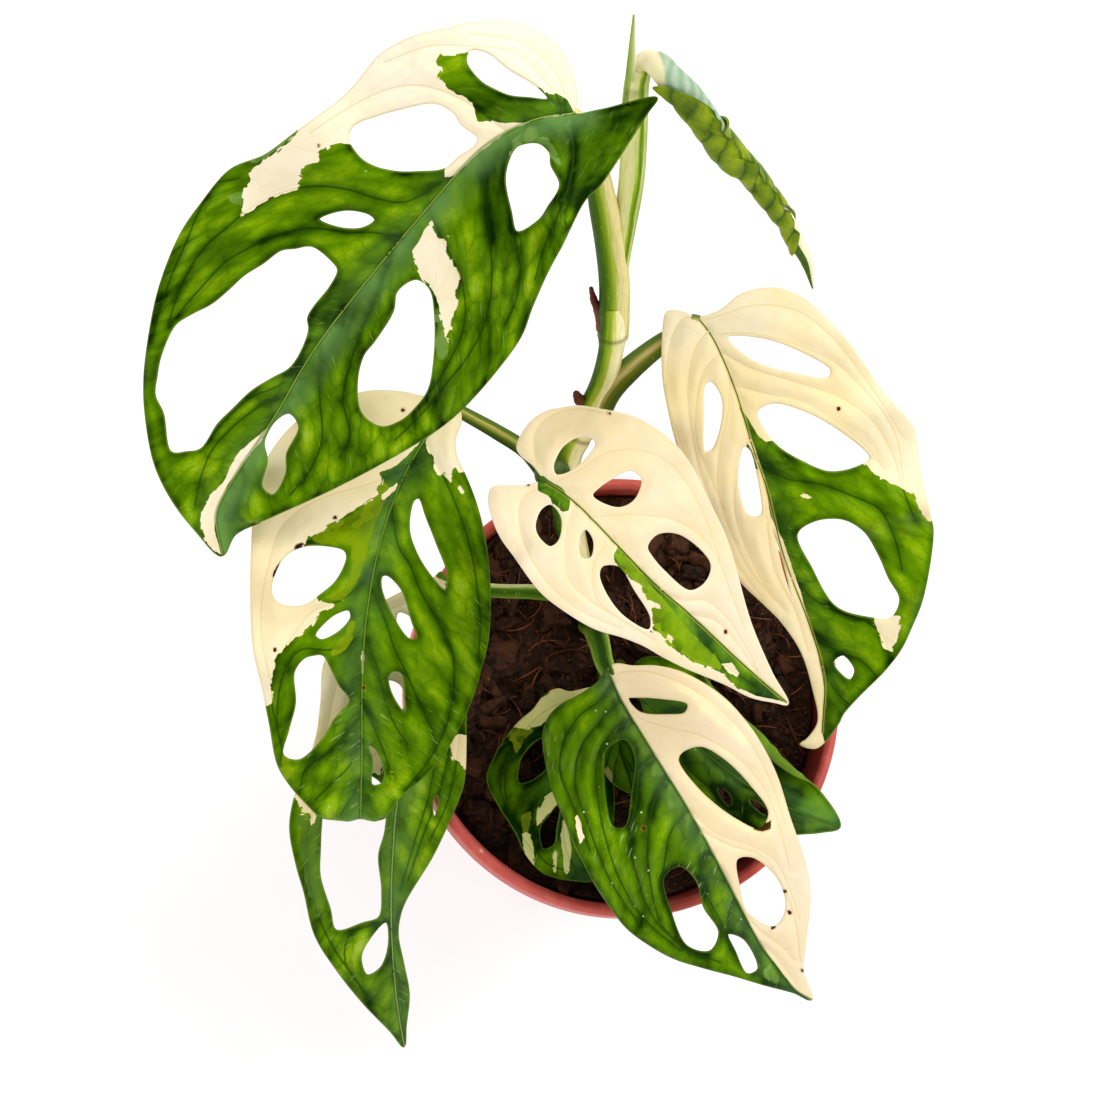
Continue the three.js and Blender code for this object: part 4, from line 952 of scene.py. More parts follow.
leafC = {
    "ribScale": 0.95,
    "form": {"rise": 0.1, "droop": 0.005, "roll": 0.02, "wave": {"length": 90, "phase": 1, "height": 1}},
    "rib": trace("541,479,166 572,500,169 613,541,171 653,582,168 696,620,162 737,659,155 786,702,147"),
    "petiole": trace("543,481,165.5 541,474,162 547,468,154 555,466,144 566,474,131"),
    "petioleRadius": [1.7, 2.4],
    "margin": trace("""
      541,479 535,467 521,455 517,447 529,424 545,412 562,408 578,406 598,409 619,413 639,419 668,438
      682,453 694,471 706,496 725,535 733,559 745,604 753,629 772,673 788,704 774,702 751,697 725,684
      684,667 664,657 643,645 623,637 594,628 558,606 541,592 529,577 515,557 502,539 494,522 489,500
      492,488 500,486 529,485
    """),
    "holes": traces("""
      553,467 556,457 564,445 582,436 596,442 588,457 570,472 556,475;
      592,495 598,488 611,479 631,470 642,479 635,500 619,508 596,500;
      647,547 657,534 680,534 711,563 706,582 690,591 664,571 652,557;
      541,509 551,504 562,518 559,541 550,547 537,535 535,524;
      580,535 586,529 594,541 591,558 581,558;
      599,575 602,566 619,566 635,590 651,618 649,630 623,616 606,594
    """),
    "veins": traces("""
      552,484 580,470 605,453 640,450 668,462 690,488 706,520 720,560;
      541,479 536,460 535,435 548,418 575,410 610,414;
      590,518 615,515 645,515 675,520 700,535 718,560 732,595 745,630;
      640,570 650,585 680,600 705,600 725,615 745,645 760,675;
      690,615 715,620 735,640 755,670 770,692;
      548,487 535,490 522,500 520,525 530,555 550,585 580,610 620,628;
      575,505 568,525 566,550 570,580 590,600 625,622 655,640;
      613,541 600,552 592,575 598,600 620,620;
      653,582 655,605 662,630 690,655 720,668;
      696,620 705,645 725,665 760,690
    """),
    "cream": traces("470,385 810,385 810,725 470,725"),
    "green": traces("""
      613,541 618,547 613,555 613,561 621,569 631,580 640,585 645,600 643,602 652,610 653,622 650,631
        657,632 668,645 680,653 692,662 702,665 720,672 738,688 755,695 785,702 737,659 696,620 653,582;
      538,480 545,478 562,488 570,500 569,511 562,511 553,504 551,498 545,495 538,490
    """),
    "creamIn": traces("""
      640,604 650,600 659,604 662,610 655,608;
      668,632 673,640 672,646 667,640;
      722,664 730,662 740,674 736,678 728,672
    """),
    # painted light on these lit parts
    "pale": traces("""
      606,538 613,537 618,542 616,548 608,547;
      612,552 632,560 655,590 690,632 715,655 722,670 700,664 668,645 652,622 640,588 622,570
    """),
    "burnt": traces("""
      526,484 530,484 531,488 527,488;
      607,412 611,412 611,416 607,416;
      723,630 727,630 727,634 723,634
    """),
    "look": {
      **palette, "rib": (44, 84, 14), "besideRib": (176, 176, 84), "ribWidth": 0.34,
      "creamEdge": (238, 228, 206), "tone": 0.55, "tear": 0.9, "highlightStroke": 0.6, "pale": (140, 170, 30),
      "cream": (235, 219, 192), "creamWarm": (231, 211, 170), "paintedSheen": (0.2, 0.2),
    },
    "stripes": [(0.0, (84, 110, 36)), (0.5, (70, 98, 28)), (1.0, (52, 82, 18))],
}
makeLeaf("leafC", leafC)

leafD = {
    "ribScale": 1.15,
    "form": {
      "rise": 0.12, "droop": 0.006, "roll": -0.16,
      "wave": {"length": 90, "phase": 0.5, "height": 1.6},
    },
    "rib": trace("""
      697,317,166 711,335,167 732,381,165 753,448,157 767,490,151 784,557,142 809,624,130 824,678,120
      822,732,112
    """),
    "petiole": trace("""
      695,320,165 680,331,163 662,343,160.5 632,367,156 610,389,151 599,408,146 592,428,140
    """),
    "petioleRadius": [1.9, 2.8, 3.3, 3.7, 4],
    "margin": trace("""
      697,317 679,311 667,312 663,334 663,376 667,402 677,444 692,485 712,530 738,578 765,605 780,620
      801,651 813,689 818,722 806,740 800,744 816,748 838,724 843,714 858,697 885,670 901,649 912,626
      922,601 931,555 933,529 931,519 920,471 914,429 908,420 885,395 870,374 853,349 837,330 807,301
      792,293 772,288 742,294 719,311
    """),
    "holes": traces("""
      727,337 734,335 769,339 807,354 831,370 828,378 795,374 759,364 736,349;
      757,412 772,403 803,410 841,431 870,458 857,467 830,472 803,462 774,443;
      705,384 711,381 722,397 722,422 712,450 705,452 703,420;
      744,446 751,450 760,487 761,515 748,515 738,487 739,460;
      772,527 782,554 791,596 784,576 776,545;
      797,534 814,521 843,519 864,531 878,553 889,578 900,599 891,618 872,618 836,607 811,567;
      833,662 843,655 855,670 850,680 837,670
    """),
    "veins": traces("""
      705,320 722,315 745,307 770,305 800,312 830,335 855,365 880,400 905,440;
      712,335 740,333 775,338 805,348 835,362 860,385 885,415 897,440 903,480;
      722,352 750,367 800,383 840,397 872,420 893,455 903,490 915,520;
      735,385 765,393 800,400 835,420 865,445 885,470;
      758,460 785,478 820,484 850,495 880,510 895,540 902,570;
      790,575 815,600 840,610 865,620 885,640 890,665;
      812,632 835,650 860,660 880,680;
      820,665 835,690 850,705;
      700,320 685,318 675,330 668,360 668,400 680,440 695,480;
      708,330 695,350 688,390 692,430 700,470 715,510 735,560 760,595;
      718,355 705,370 697,400 697,440 712,480 725,510;
      730,380 728,410 720,450 718,490 730,530 750,570 775,600;
      748,440 738,470 735,510 745,545 765,585 785,610;
      765,490 768,530 775,570 795,610 808,650
    """),
    "cream": traces("640,270 960,270 960,770 640,770"),
    "green": traces("""
      738,405 748,418 757,433 765,441 772,441 830,462 866,464 873,476 885,480 899,488 912,494 918,505
        921,512 928,520 940,520 945,560 930,640 850,740 825,745 822,732 823,705 825,690 818,655 808,620
        800,590 783,540 770,515 765,480 757,455 748,430;
      745,440 752,450 758,470 752,462 747,448
    """),
    "creamIn": traces("""
      871,618 899,615 898,630 892,651 884,648 880,635;
      798,493 806,493 813,497 808,499 801,497
    """),
    "burnt": traces("836,407 840,407 840,411 836,411"),
    "groove": 0.2,
    "look": {
      **palette, "rib": (42, 78, 20), "besideRib": (206, 190, 108), "creamEdge": (228, 214, 172),
      "cream": (239, 225, 193), "creamWarm": (234, 212, 158), "bands": 0.7, "tear": 0.9, "tone": 0.53,
      "paintedSheen": (0.4, 0.3), "paintedSheenColour": (64, 104, 48),
    },
    "stripes": [
      (0.0, (84, 112, 40)), (0.22, (116, 138, 66)), (0.36, (190, 172, 108)), (0.5, (212, 194, 136)),
      (0.64, (118, 126, 42)), (0.85, (84, 98, 24)), (1.0, (60, 76, 16)),
    ],
}
makeLeaf("leafD", leafD)

leafE = {
    "ribScale": 1.05,
    "form": {"rise": 0.13, "droop": 0.006, "roll": 0, "wave": {"length": 100, "phase": 0, "height": 1.4}},
    "rib": trace("""
      608,670,122 620,698,125 655,756,127 689,811,125 724,875,119 760,944,108 795,990,98 811,1000,95
    """),
    "petiole": trace("609,673,121.5 604,662,119 600,646,114 595,630,107 590,622,97"),
    "petioleRadius": [1.8, 2.8],
    "margin": trace("""
      607,669 616,664 632,666 655,666 678,671 701,682 724,698 742,717 758,739 776,774 790,818 806,866
      810,893 805,948 803,971 812,1000 795,993 765,985 735,976 701,967 673,958 648,944 627,928 609,905
      590,875 563,815 551,785 543,735 549,717 561,705 581,694 600,680
    """),
    "holes": traces("""
      628,698 636,697 659,698 688,704 685,713 669,715 639,712;
      678,760 682,752 701,746 724,758 751,785 769,813 760,829 737,820 701,792;
      737,859 753,857 779,880 786,909 774,927 747,912 739,886;
      604,760 607,749 625,739 635,756 632,792 625,827 613,827 606,803;
      664,877 680,866 696,880 704,907 719,932 710,951 687,946 671,912;
      728,934 744,939 758,969 747,974 735,951
    """),
    "veins": traces("""
      612,680 600,700 580,715 565,740 560,770 575,810 590,850;
      620,698 600,722 582,745 575,780 590,830 610,880 640,925;
      632,720 605,740 596,765 598,800 606,840 620,880 645,920 680,950;
      655,756 640,770 637,800 630,840 638,880 655,920 690,950 720,962;
      668,778 655,800 648,840 650,880 662,925 690,955;
      689,811 672,830 665,860 662,890 675,930;
      712,853 700,860 705,890 722,925 730,950;
      735,896 728,920 735,955 765,980;
      610,674 625,672 650,672 685,685 715,705 745,735 770,780 785,825;
      625,705 640,718 670,728 700,735 740,760 765,790 780,830 790,870;
      690,812 720,835 750,845 775,860 790,890 800,920;
      700,830 730,845 760,855 780,880 795,920 800,960;
      720,868 740,905 765,935 790,950;
      738,900 755,925 775,940 795,960;
      760,944 775,955 790,975 800,990
    """),
    "cream": traces("""
      608,671 620,698 655,756 689,811 724,875 760,944 795,990 812,1002 840,1000 840,850 790,720 720,665
        640,650 605,655;
      577,815 581,822 584,840 580,845 577,832 575,818
    """),
    "pale": traces("764,967 770,963 779,978 777,985 768,980 763,975"),
    "burnt": traces("""
      752,829 760,826 771,820 770,829 762,832;
      641,826 645,826 645,830 641,830;
      782,889 786,889 786,893 782,893;
      787,910 791,910 791,914 787,914;
      771,925 775,925 775,929 771,929;
      800,968 804,968 804,972 800,972
    """),
    "quilt": 1.15,
    "groove": 0.5,
    "wing": 0.35,
    "look": {
      **palette, "rib": (64, 96, 36), "besideRib": (36, 74, 20), "edge": (84, 112, 40),
      "tone": 0.48, "bands": 1.0, "mottle": 0.2,
      "fleckAndHighlight": (206, 218, 186), "fleckFrom": 0.62, "veinShade": 0.2, "shine": 0.35, "gloss": 0.22,
      "tear": 0.7, "cream": (237, 221, 196), "creamWarm": (233, 212, 176), "highlightStroke": 0.5,
      "paintedSheen": (0.35, 0.0), "paintedSheenColour": (104, 136, 96),
    },
    "stripes": [
      (0.0, (170, 192, 96)), (0.14, (120, 152, 46)), (0.3, (44, 84, 16)), (0.6, (34, 72, 12)),
      (0.84, (96, 134, 36)), (1.0, (176, 196, 100)),
    ],
}
makeLeaf("leafE", leafE)

leafF = {
    "ribScale": 1.05,
    "form": {"rise": 0.12, "droop": 0.005, "roll": 0, "wave": {"length": 90, "phase": 1, "height": 1.2}},
    "rib": trace("""
      449,583,121 438,640,123 424,700,121 408,755,116 397,805,108 393,851,98 391,905,83 393,959,67
      398,1010,52 404,1045,43
    """),
    "petiole": trace("449,584,120.5 470,588,119 500,591,115 535,592,109 575,597,99"),
    "petioleRadius": [1.7, 2.3],
    "margin": trace("""
      449,583 441,572 434,578 402,592 385,601 360,616 338,638 324,665 321,703 316,738 303,775 295,796
      290,828 297,867 304,891 315,935 336,969 363,1003 391,1032 404,1047 406,1026 409,994 404,966 398,935
      400,916 406,900 431,859 441,839 459,798 464,780 466,720 466,660 463,620 457,594
    """),
    "holes": traces("""
      328,790 345,776 368,774 384,786 387,803 385,832 379,855 382,891 379,917 363,923 336,930 330,909
        320,876 320,851 322,817;
      386,922 389,941 381,967 367,975 361,959 365,946;
      433,800 438,795 439,805 434,818;
      398,612 409,615 418,632 415,645 404,640 396,626;
      388,680 400,684 406,700 402,710 390,698
    """),
    "veins": traces("""
      446,600 425,600 400,605 375,620 350,650 335,690 325,740;
      438,640 415,655 385,670 355,700 340,750 318,790 308,830;
      424,700 405,715 385,745 360,765 335,775;
      325,790 308,830 308,870 318,915 335,950 360,985;
      395,930 375,925 350,935 345,960 370,1000;
      446,600 455,640 460,700 458,750 448,800 430,840;
      438,640 448,690 450,740 440,790 425,830 408,880;
      424,700 435,740 430,790 415,840 400,890;
      393,959 400,985 402,1015
    """),
    "cream": traces("""
      449,583 430,575 380,595 335,630 310,700 285,790 298,800 302,806 300,812 306,812 310,815 312,825
        325,790 345,775 370,772 380,775 385,765 392,750 410,700 430,640;
      449,740 458,735 475,735 475,760 463,770 458,762 452,760
    """),
    # painted sheen on these strips
    "pale": traces("""
      300,815 320,812 320,870 325,900 318,920 308,890 300,850;
      386,800 398,800 393,850 390,900 384,915 382,870 380,840
    """),
    "look": {
      **palette, "pale": (92, 126, 52), "tone": 0.61, "paintedSheen": (0.3, 0.5), "rib": (150, 170, 110),
      "paintedSheenColour": (104, 140, 84), "highlightStroke": 0.4,
    },
    "stripes": [
      (0.0, (150, 172, 80)), (0.18, (90, 128, 24)), (0.4, (44, 86, 6)), (0.66, (84, 122, 24)),
      (0.8, (196, 204, 136)), (1.0, (226, 224, 172)),
    ],
}
makeLeaf("leafF", leafF)

leafG = {
    "ribScale": 0.8,
    "form": {"rise": 0.1, "droop": 0.006, "roll": 0, "wave": {"length": 70, "phase": 1, "height": 0.8}},
    "rib": trace("598,692,104 580,730,105 570,765,104.5 566,800,103.5 572,840,102 592,878,100.5"),
    "petiole": trace("599,690,103.5 602,680,102 602,668,98 600,660,88"),
    "petioleRadius": [1.3, 1.7],
    "margin": trace("""
      598,690 590,688 581,690 569,692 558,689 545,695 533,710 519,722 504,740 495,756 487,779 499,806
      517,835 522,847 531,861 542,872 554,877 569,880 594,880 606,862 612,835 614,800 611,765 606,730
      604,705
    """),
    "holes": traces("""
      542,738 529,747 520,761 519,783 531,781 550,765 556,748;
      540,827 547,817 560,803 557,829 554,845 543,849;
      580,790 590,778 598,790 597,815 588,830 581,815
    """),
    "veins": traces("""
      595,698 570,700 540,715 515,745 500,780 510,820;
      582,725 560,730 535,735 512,755 505,785 515,825 535,855;
      570,765 558,785 535,805 530,835 545,862 570,872;
      567,800 563,830 570,860 582,875;
      580,730 600,750 608,790 605,830;
      570,790 590,840 598,860
    """),
    "cream": traces("""
      600,688 560,684 530,705 512,728 525,730 540,727 550,718 575,705 598,694;
      556,788 545,797 537,812 536,828 545,818 557,803 560,790;
      522,833 530,834 533,850 535,868 528,862 522,848;
      563,820 568,818 571,850 569,872 563,876 562,850 560,835;
      553,855 556,850 557,868 554,872
    """),
    "pale": traces("""
      503,736 512,728 540,727 528,735 522,745 516,752 514,742;
      520,818 532,812 530,825 524,838
    """),
    # Painted shade: this leaf lies under the others, so its greens and cream are darker and duller.
    "look": {
      **palette, "tear": 0.8, "tone": 0.42, "cream": (206, 204, 144), "creamWarm": (190, 190, 116),
      "creamVein": (150, 160, 84), "blush": (196, 200, 150), "pale": (130, 146, 34),
    },
    "stripes": [(0.0, (96, 120, 40)), (0.5, (110, 134, 50)), (1.0, (60, 84, 22))],
}
makeLeaf("leafG", leafG)

leafH = {
    "ribScale": 0.85,
    "form": {"rise": 0.1, "droop": 0.004, "roll": 0.06, "wave": {"length": 90, "phase": 2, "height": 0.8}},
    "rib": trace("640,696,107 662,716,109 700,748,111 745,783,112.5 789,808,113.5 838,826,112"),
    "petiole": trace("641,697,106.5 632,684,104 624,672,99 618,662,88"),
    "petioleRadius": [1.3, 1.8],
    "margin": trace("""
      640,696 632,672 640,660 655,657 685,664 716,672 748,690 776,716 797,740 811,762 820,786 840,827
      822,832 799,834 772,836 740,826 708,806 682,780 662,752 650,728 644,712
    """),
    "holes": traces("""
      717,788 724,789 732,799 730,807 722,800;
      749,800 755,800 769,812 767,816 752,806
    """),
    "turned": [{"from": [640, 621], "to": [813, 794], "radius": 1.9, "turn": 172}],
    "veins": traces("""
      662,716 670,740 690,770 720,795 760,815 800,825;
      700,748 720,765 750,785 780,805 810,822;
      662,716 690,712 720,725 750,745 780,770;
      745,783 770,785 800,795
    """),
    "cream": [],
    "look": {**palette, "under": (126, 152, 66), "rib": (84, 118, 44), "tone": 0.46},
    "stripes": [(0.0, (96, 120, 40)), (0.5, (110, 134, 50)), (1.0, (60, 84, 22))],
}
makeLeaf("leafH", leafH)

leafJ = {
    "ribScale": 0.7,
    "form": {"rise": 0.25, "droop": 0.01, "roll": 0, "wave": {"length": 60, "phase": 0, "height": 0.3}},
    "rib": trace("618,720,111.5 619,735,113 622,756,113.5 628,774,112.5 633,793,110"),
    "petiole": trace("618,722,111 617,709,109 614,694,103 611,680,88"),
    "petioleRadius": [1.1, 1.4],
    "margin": trace("""
      618,720 608,725 601,742 601,760 606,774 613,783 623,790 633,793 640,778 642,758 638,738 629,725
    """),
    "holes": [],
    "veins": traces("""
      619,735 612,745 606,765;
      621,748 615,765 614,780;
      620,738 630,750 636,770;
      623,756 630,765 635,780
    """),
    "cream": [],
    "pale": traces("604,765 608,768 612,775 610,790 602,785"),
    "look": {
      **palette, "dark": (50, 92, 10), "mid": (88, 132, 18), "bright": (128, 164, 36), "paintedSheen": (0.0, 0.0),
      "pale": (200, 192, 132), "rib": (36, 64, 12), "under": (130, 156, 60), "ribShade": 0.0,
    },
    "stripes": [(0.0, (110, 140, 44)), (0.5, (140, 160, 60)), (1.0, (80, 100, 30))],
}
makeLeaf("leafJ", leafJ)


# Stem

stem = {
    "line": trace("""
      594,648,78 590,622,92 582,585,104 573,540,115 564,495,126 569,455,136 585,420,143 602,385,151
      611,350,160 613,322,167 613,306,170
    """),
    "radius": (3.9, 3.2),
    "nodes": (0.2, 0.42, 0.66, 0.93),
    "nodeRise": 0.55,
    "nodeSpread": 0.022,
    "stripes": [
      (0.0, (214, 196, 120)), (0.12, (255, 247, 204)), (0.38, (250, 242, 178)), (0.5, (196, 206, 84)),
      (0.68, (150, 178, 40)), (0.84, (76, 114, 6)), (1.0, (40, 76, 0)),
    ],
    "growths": [  # an aerial root, a dry sheath and a second root, with their end radii
      ([[603, 330, 164], [599, 312, 166], [594, 300, 170], [591, 288, 176]], (1.6, 0.5)),
      ([[592, 408, 145], [585, 404, 146], [579, 399, 148], [576, 393, 151]], (2.4, 0.8)),
      ([[572, 560, 110], [564, 566, 104], [558, 574, 97], [556, 580, 86]], (1.0, 0.8)),
    ],
}


def growthMaterial():
    material = newMaterial("dry growth")
    where = spot()
    mottle = cloud(420.0, 4.0, 0.6, where)
    bark = blend(mottle, srgb(96, 48, 28), srgb(156, 104, 62))
    colour = blend(fade(field("run"), 3.0, 11.0), bark, srgb(92, 22, 18))
    surface(colour, fade(mottle, 0.2, 0.8, 0.45, 0.7), mottle, 0.0002)
    return material


def stemPoint(t):
    radius = stem["radius"][0] + (stem["radius"][1] - stem["radius"][0]) * t
    for node in stem["nodes"]:
        away = (t - node) / stem["nodeSpread"]
        radius += stem["nodeRise"] * (math.exp(-away ** 2) - 0.5 * math.exp(-(away * 4) ** 2))
    angle = np.arange(48) / 48 * 2 * math.pi
    ridges = 0.05 * np.sin(angle * 7 + t * 3) + 0.04 * np.sin(angle * 17 - t * 8)
    return (radius + ridges) * np.cos(angle), (radius + ridges) * np.sin(angle)


def makeStem():
    points, faces, fields = sweep(evenPath(stem["line"], 0.45), stemPoint)
    length = fields["run"].max()
    fields["ring"] = np.zeros(len(points))
    for node in stem["nodes"]:
        away = (fields["run"] / length - node) * length
        fields["ring"] = np.maximum(fields["ring"], np.exp(-(away / 0.7) ** 2))
    parts = [(points, faces, fields, 0)]
    for line, radii in stem["growths"]:
        section = stalkSection(radii, 16)

        def rough(t, section=section):
            across, out = section(t)
            bumps = 1 + 0.12 * np.sin(np.arange(16) * 2.4 + t * 21)
            return across * bumps, out * bumps

        parts.append((*sweep(evenPath(line, 0.5), rough), 1))
    points, faces, fields, which = joinParts(parts)
    material = stalkMaterial("stem", stem["stripes"])
    bare = shader.inputs["Base Color"].links[0].from_socket
    scar = times(field("ring"), 0.6)
    plug(blend(scar, bare, srgb(92, 78, 30)), shader.inputs["Base Color"])
    materials = (material, growthMaterial())
    newPiece("stem.main", points, faces, fields, "stem", materials, which)


makeStem()


# The rolled new leaf, its petiole and the pointed sheath beside it

newLeaf = {
    "petiole": trace("618,268,180 625,222,191 631,184,200 634,139,210 635,105,218 637,82,228 641,66,234"),
    "petioleRadius": (2.6, 3.1, 3.3, 3.3, 2.9),
    "sheath": trace("631,120,212 631,85,229 632,52,241 634,15,252"),
    "sheathWidth": (2.5, 0.3),
    "sheathDepth": (1.6, 0.3),
    "scroll": trace("""
      638,74,231 645,61,235 658,65,238 671,79,238 687,95,236 701,113,233 716,135,228 735,158,223
      750,172,219 767,194,213 787,222,205 797,243,199 807,262,193 813,288,185
    """),
    "scrollRadius": (2.2, 4, 4.4, 4.2, 4, 3.5, 3, 2.7, 2.5, 1.9, 0.4),
    "wrapTurns": 1.12,
    "wrapRows": 190,
    "wrapColumns": 96,
    "wrapLength": 60,  # mm along and round, for the net of veins
    "wrapWidth": 26,
    "seam": 0.31,  # turns from the lower left side, past the eye's side
    "half": 0.26,
    "stripes": [
      (0.0, (150, 170, 70)), (0.12, (216, 220, 140)), (0.2, (96, 136, 0)), (0.3, (160, 192, 30)),
      (0.38, (226, 230, 150)), (0.62, (242, 240, 184)), (0.85, (232, 232, 170)), (1.0, (186, 196, 110)),
    ],
    "sheathStripes": [
      (0.0, (240, 240, 200)), (0.4, (220, 228, 156)), (0.7, (176, 200, 92)), (1.0, (110, 150, 30)),
    ],
}


def scrollMaterial():  # what shows of the rolled leaf at its base and tip
    material = newMaterial("rolled leaf")
    where = spot()
    along = field("run")
    side = field("side")
    fine = cloud(380.0, 4.0, 0.6, where)
    broad = cloud(60.0, 3.0, 0.5, where)
    cream = blend(fade(broad, 0.3, 0.7), srgb(247, 233, 203), srgb(232, 226, 170))
    strokes = cells(260.0, "F1", warp(where, 200.0, 0.003))
    edge = centred(strokes.outputs["Color"], 0.9, along)
    edge = scaled(side, -3.4, edge)
    slant = scaled(side, -2.4, along)
    wrinkle = calc("PINGPONG", scaled(broad, 9.0, slant), 1.5)
    grey = blend(fade(wrinkle, 0.0, 1.5, 0.1, 0.7), srgb(142, 168, 136), srgb(200, 214, 190))
    grey = blend(times(fine, 0.5), grey, srgb(150, 180, 150))
    colour = blend(fade(edge, 10.2, 11.6), cream, grey)
    lower = scaled(side, 6.0, scaled(strokes.outputs["Color"], 2.0, along))
    tipGreen = blend(fine, srgb(40, 84, 10), srgb(88, 126, 26))
    tip = blend(fade(side, 0.0, 0.14), srgb(244, 232, 196), tipGreen)
    colour = blend(fade(along, 40.0, 41.0), colour, tip)
    colour = blend(fade(lower, 97.0, 99.0), colour, srgb(120, 84, 40))
    surface(colour, scaled(fine, 0.25, 0.34), cloud(1500.0, 3.0, 0.6, where), 0.00006, 0.3, 0.1)
    return material


def wrapMaterial():  # the outer turn, green with a raised net of veins
    material = newMaterial("outer turn")
    where = spot()
    fine = cloud(380.0, 4.0, 0.6, where)
    broad = cloud(60.0, 3.0, 0.5, where)
    # Painted light and shade: lighter on the swells between the veins, darker in the dips.
    tone = scaled(field("swell"), 0.5, times(broad, 0.5))
    tone = centred(fine, 0.3, tone)
    colour = ramp(tone, [(0.2, srgb(40, 62, 0)), (0.5, srgb(88, 116, 0)), (0.85, srgb(146, 164, 24))])
    loose = warp(where, 170.0, 0.002)
    crease = fade(cells(330.0, "DISTANCE_TO_EDGE", loose).outputs["Distance"], 0.0, 0.07, 0.2, 0.0)
    colour = paint(colour, [
        (fade(field("vein"), 0.1, 0.4, 0.6, 0.0), srgb(58, 94, 6)),
        (fade(field("seam"), 0.1, 0.9, 0.5, 0.0), srgb(40, 72, 10)), (crease, srgb(44, 78, 8)),
    ])
    hill = fade(cells(330.0, "F1", loose).outputs["Distance"], 0.1, 0.6, 1.0, 0.0)
    surface(colour, scaled(fine, 0.2, 0.3), hill, 0.00018, 0.25, 0.1)
    return material


def wrapSheet(path, radii):  # the outer turn of the rolled blade, a sheet that overlaps itself
    steps, turns = newLeaf["wrapRows"], newLeaf["wrapColumns"]
    sideways, facing = waysOff(path)
    places = np.linspace(0, 1, len(path))
    upper, lower, swells, seams, veins = [], [], [], [], []
    for i in range(steps + 1):
        for k in range(turns + 1):
            u, v = i / steps, k / turns
            begin = 0.13 + min(0.2, 0.13 * abs((0.73 - v) / 0.27) ** 2.6)
            finish = 0.845 - 0.6 * (v - 0.62) ** 2 - (0.05 if v < 0.4 else 0)
            t = begin + (finish - begin) * u
            scallop = 0.022 * math.sin(31 * u) + 0.012 * math.sin(83 * u + 1)
            wave = 0.32 * math.sin(19 * u + 1.4 * (1 - v)) * math.sin(math.pi * u)
            angle = 2 * math.pi * (newLeaf["seam"] + scallop * v - (1 - v) * newLeaf["wrapTurns"])
            run, round_ = t * newLeaf["wrapLength"], v * newLeaf["wrapWidth"]
            drift = 0.25 * noise.noise((run / 5, round_ / 5, 4))
            vein = abs((run / 4.6 + round_ / 9 + drift) % 1 - 0.5) * 4.6
            swell = min(1, vein / 1.4) ** 0.7
            lump = noise.noise((run / 3.4, round_ / 3.4, 9))
            radius = np.interp(t, np.linspace(0, 1, len(radii)), radii)
            reach = radius * (0.84 + 0.18 * v) + 0.34 * (swell - 0.7) + 0.4 * lump + wave * v
            reach += 0.5 * math.exp(-(u / 0.03) ** 2) + 0.35 * math.exp(-((1 - u) / 0.03) ** 2)
            at = [np.interp(t, places, path[:, c]) for c in range(3)]
            side = np.array([np.interp(t, places, sideways[:, c]) for c in range(3)])
            face = np.array([np.interp(t, places, facing[:, c]) for c in range(3)])
            out = side * math.cos(angle) + face * math.sin(angle)
            upper.append(np.array(at) + out * (reach + newLeaf["half"]))
            lower.append(np.array(at) + out * (reach - newLeaf["half"]))
            swells.append(0.5 * swell + 0.5 + 0.5 * lump)
            veins.append(vein)
            seams.append((1 - v) * newLeaf["wrapWidth"])
    row = turns + 1
    count = len(upper)
    faces = []
    for i in range(steps):
        for k in range(turns):
            a = i * row + k
            faces.append((a, a + 1, a + row + 1, a + row))
            faces.append((a + count, a + row + count, a + row + 1 + count, a + 1 + count))
    border = [i * row for i in range(steps)] + [steps * row + k for k in range(turns)]
    border += [i * row + turns for i in range(steps, 0, -1)] + [k for k in range(turns, 0, -1)]
    for a, b in zip(border, border[1:] + border[:1]):
        faces.append((b, a, a + count, b + count))
    fields = {"swell": np.array(swells * 2), "seam": np.array(seams * 2), "vein": np.array(veins * 2)}
    return np.array(upper + lower), faces, fields


def makeNewLeaf():
    path = evenPath(newLeaf["scroll"], 0.5)
    radii = newLeaf["scrollRadius"]

    def spear(t):  # the sheath's section, hollowed a little towards the eye
        wide = newLeaf["sheathWidth"][0] + (newLeaf["sheathWidth"][1] - newLeaf["sheathWidth"][0]) * t
        deep = newLeaf["sheathDepth"][0] + (newLeaf["sheathDepth"][1] - newLeaf["sheathDepth"][0]) * t
        angle = np.arange(28) / 28 * 2 * math.pi
        return wide * np.cos(angle), deep * np.sin(angle) * (1 - 0.5 * np.exp(-(np.cos(angle) / 0.3) ** 2))

    points, faces, fields, which = joinParts([
        (*sweep(path, stalkSection([r * 0.82 for r in radii], 40)), 0),
        (*wrapSheet(path, radii), 1),
        (*sweep(evenPath(newLeaf["petiole"], 0.7), stalkSection(newLeaf["petioleRadius"], 36, 0.12)), 2),
        (*sweep(evenPath(newLeaf["sheath"], 0.6), spear), 3),
    ])
    materials = (
        scrollMaterial(), wrapMaterial(), stalkMaterial("new petiole", newLeaf["stripes"]),
        stalkMaterial("sheath", newLeaf["sheathStripes"]),
    )
    newPiece("newLeaf.main", points, faces, fields, "newLeaf", materials, which)


makeNewLeaf()


# Pot

pot = {
    "height": 105,
    "rimRadius": 60,
    "lipWidth": 3.2,
    "lipDepth": 9,
    "shoulderRadius": 57.6,
    "baseRadius": 41,
    "recessDepth": 1.5,
    "recessRadii": (15, 36),
    "wall": 1.8,
    "floor": 2.4,
    "drainHoles": 6,
    "drainRadius": 3.5,
    "drainRing": 26,
    "sides": 180,
    "sharpAngle": 38,  # degrees
    "footRoom": 39.6,  # inner radii at the floor and under the lip
    "topRoom": 55.8,
}
potFloor = pot["floor"] + pot["recessDepth"]


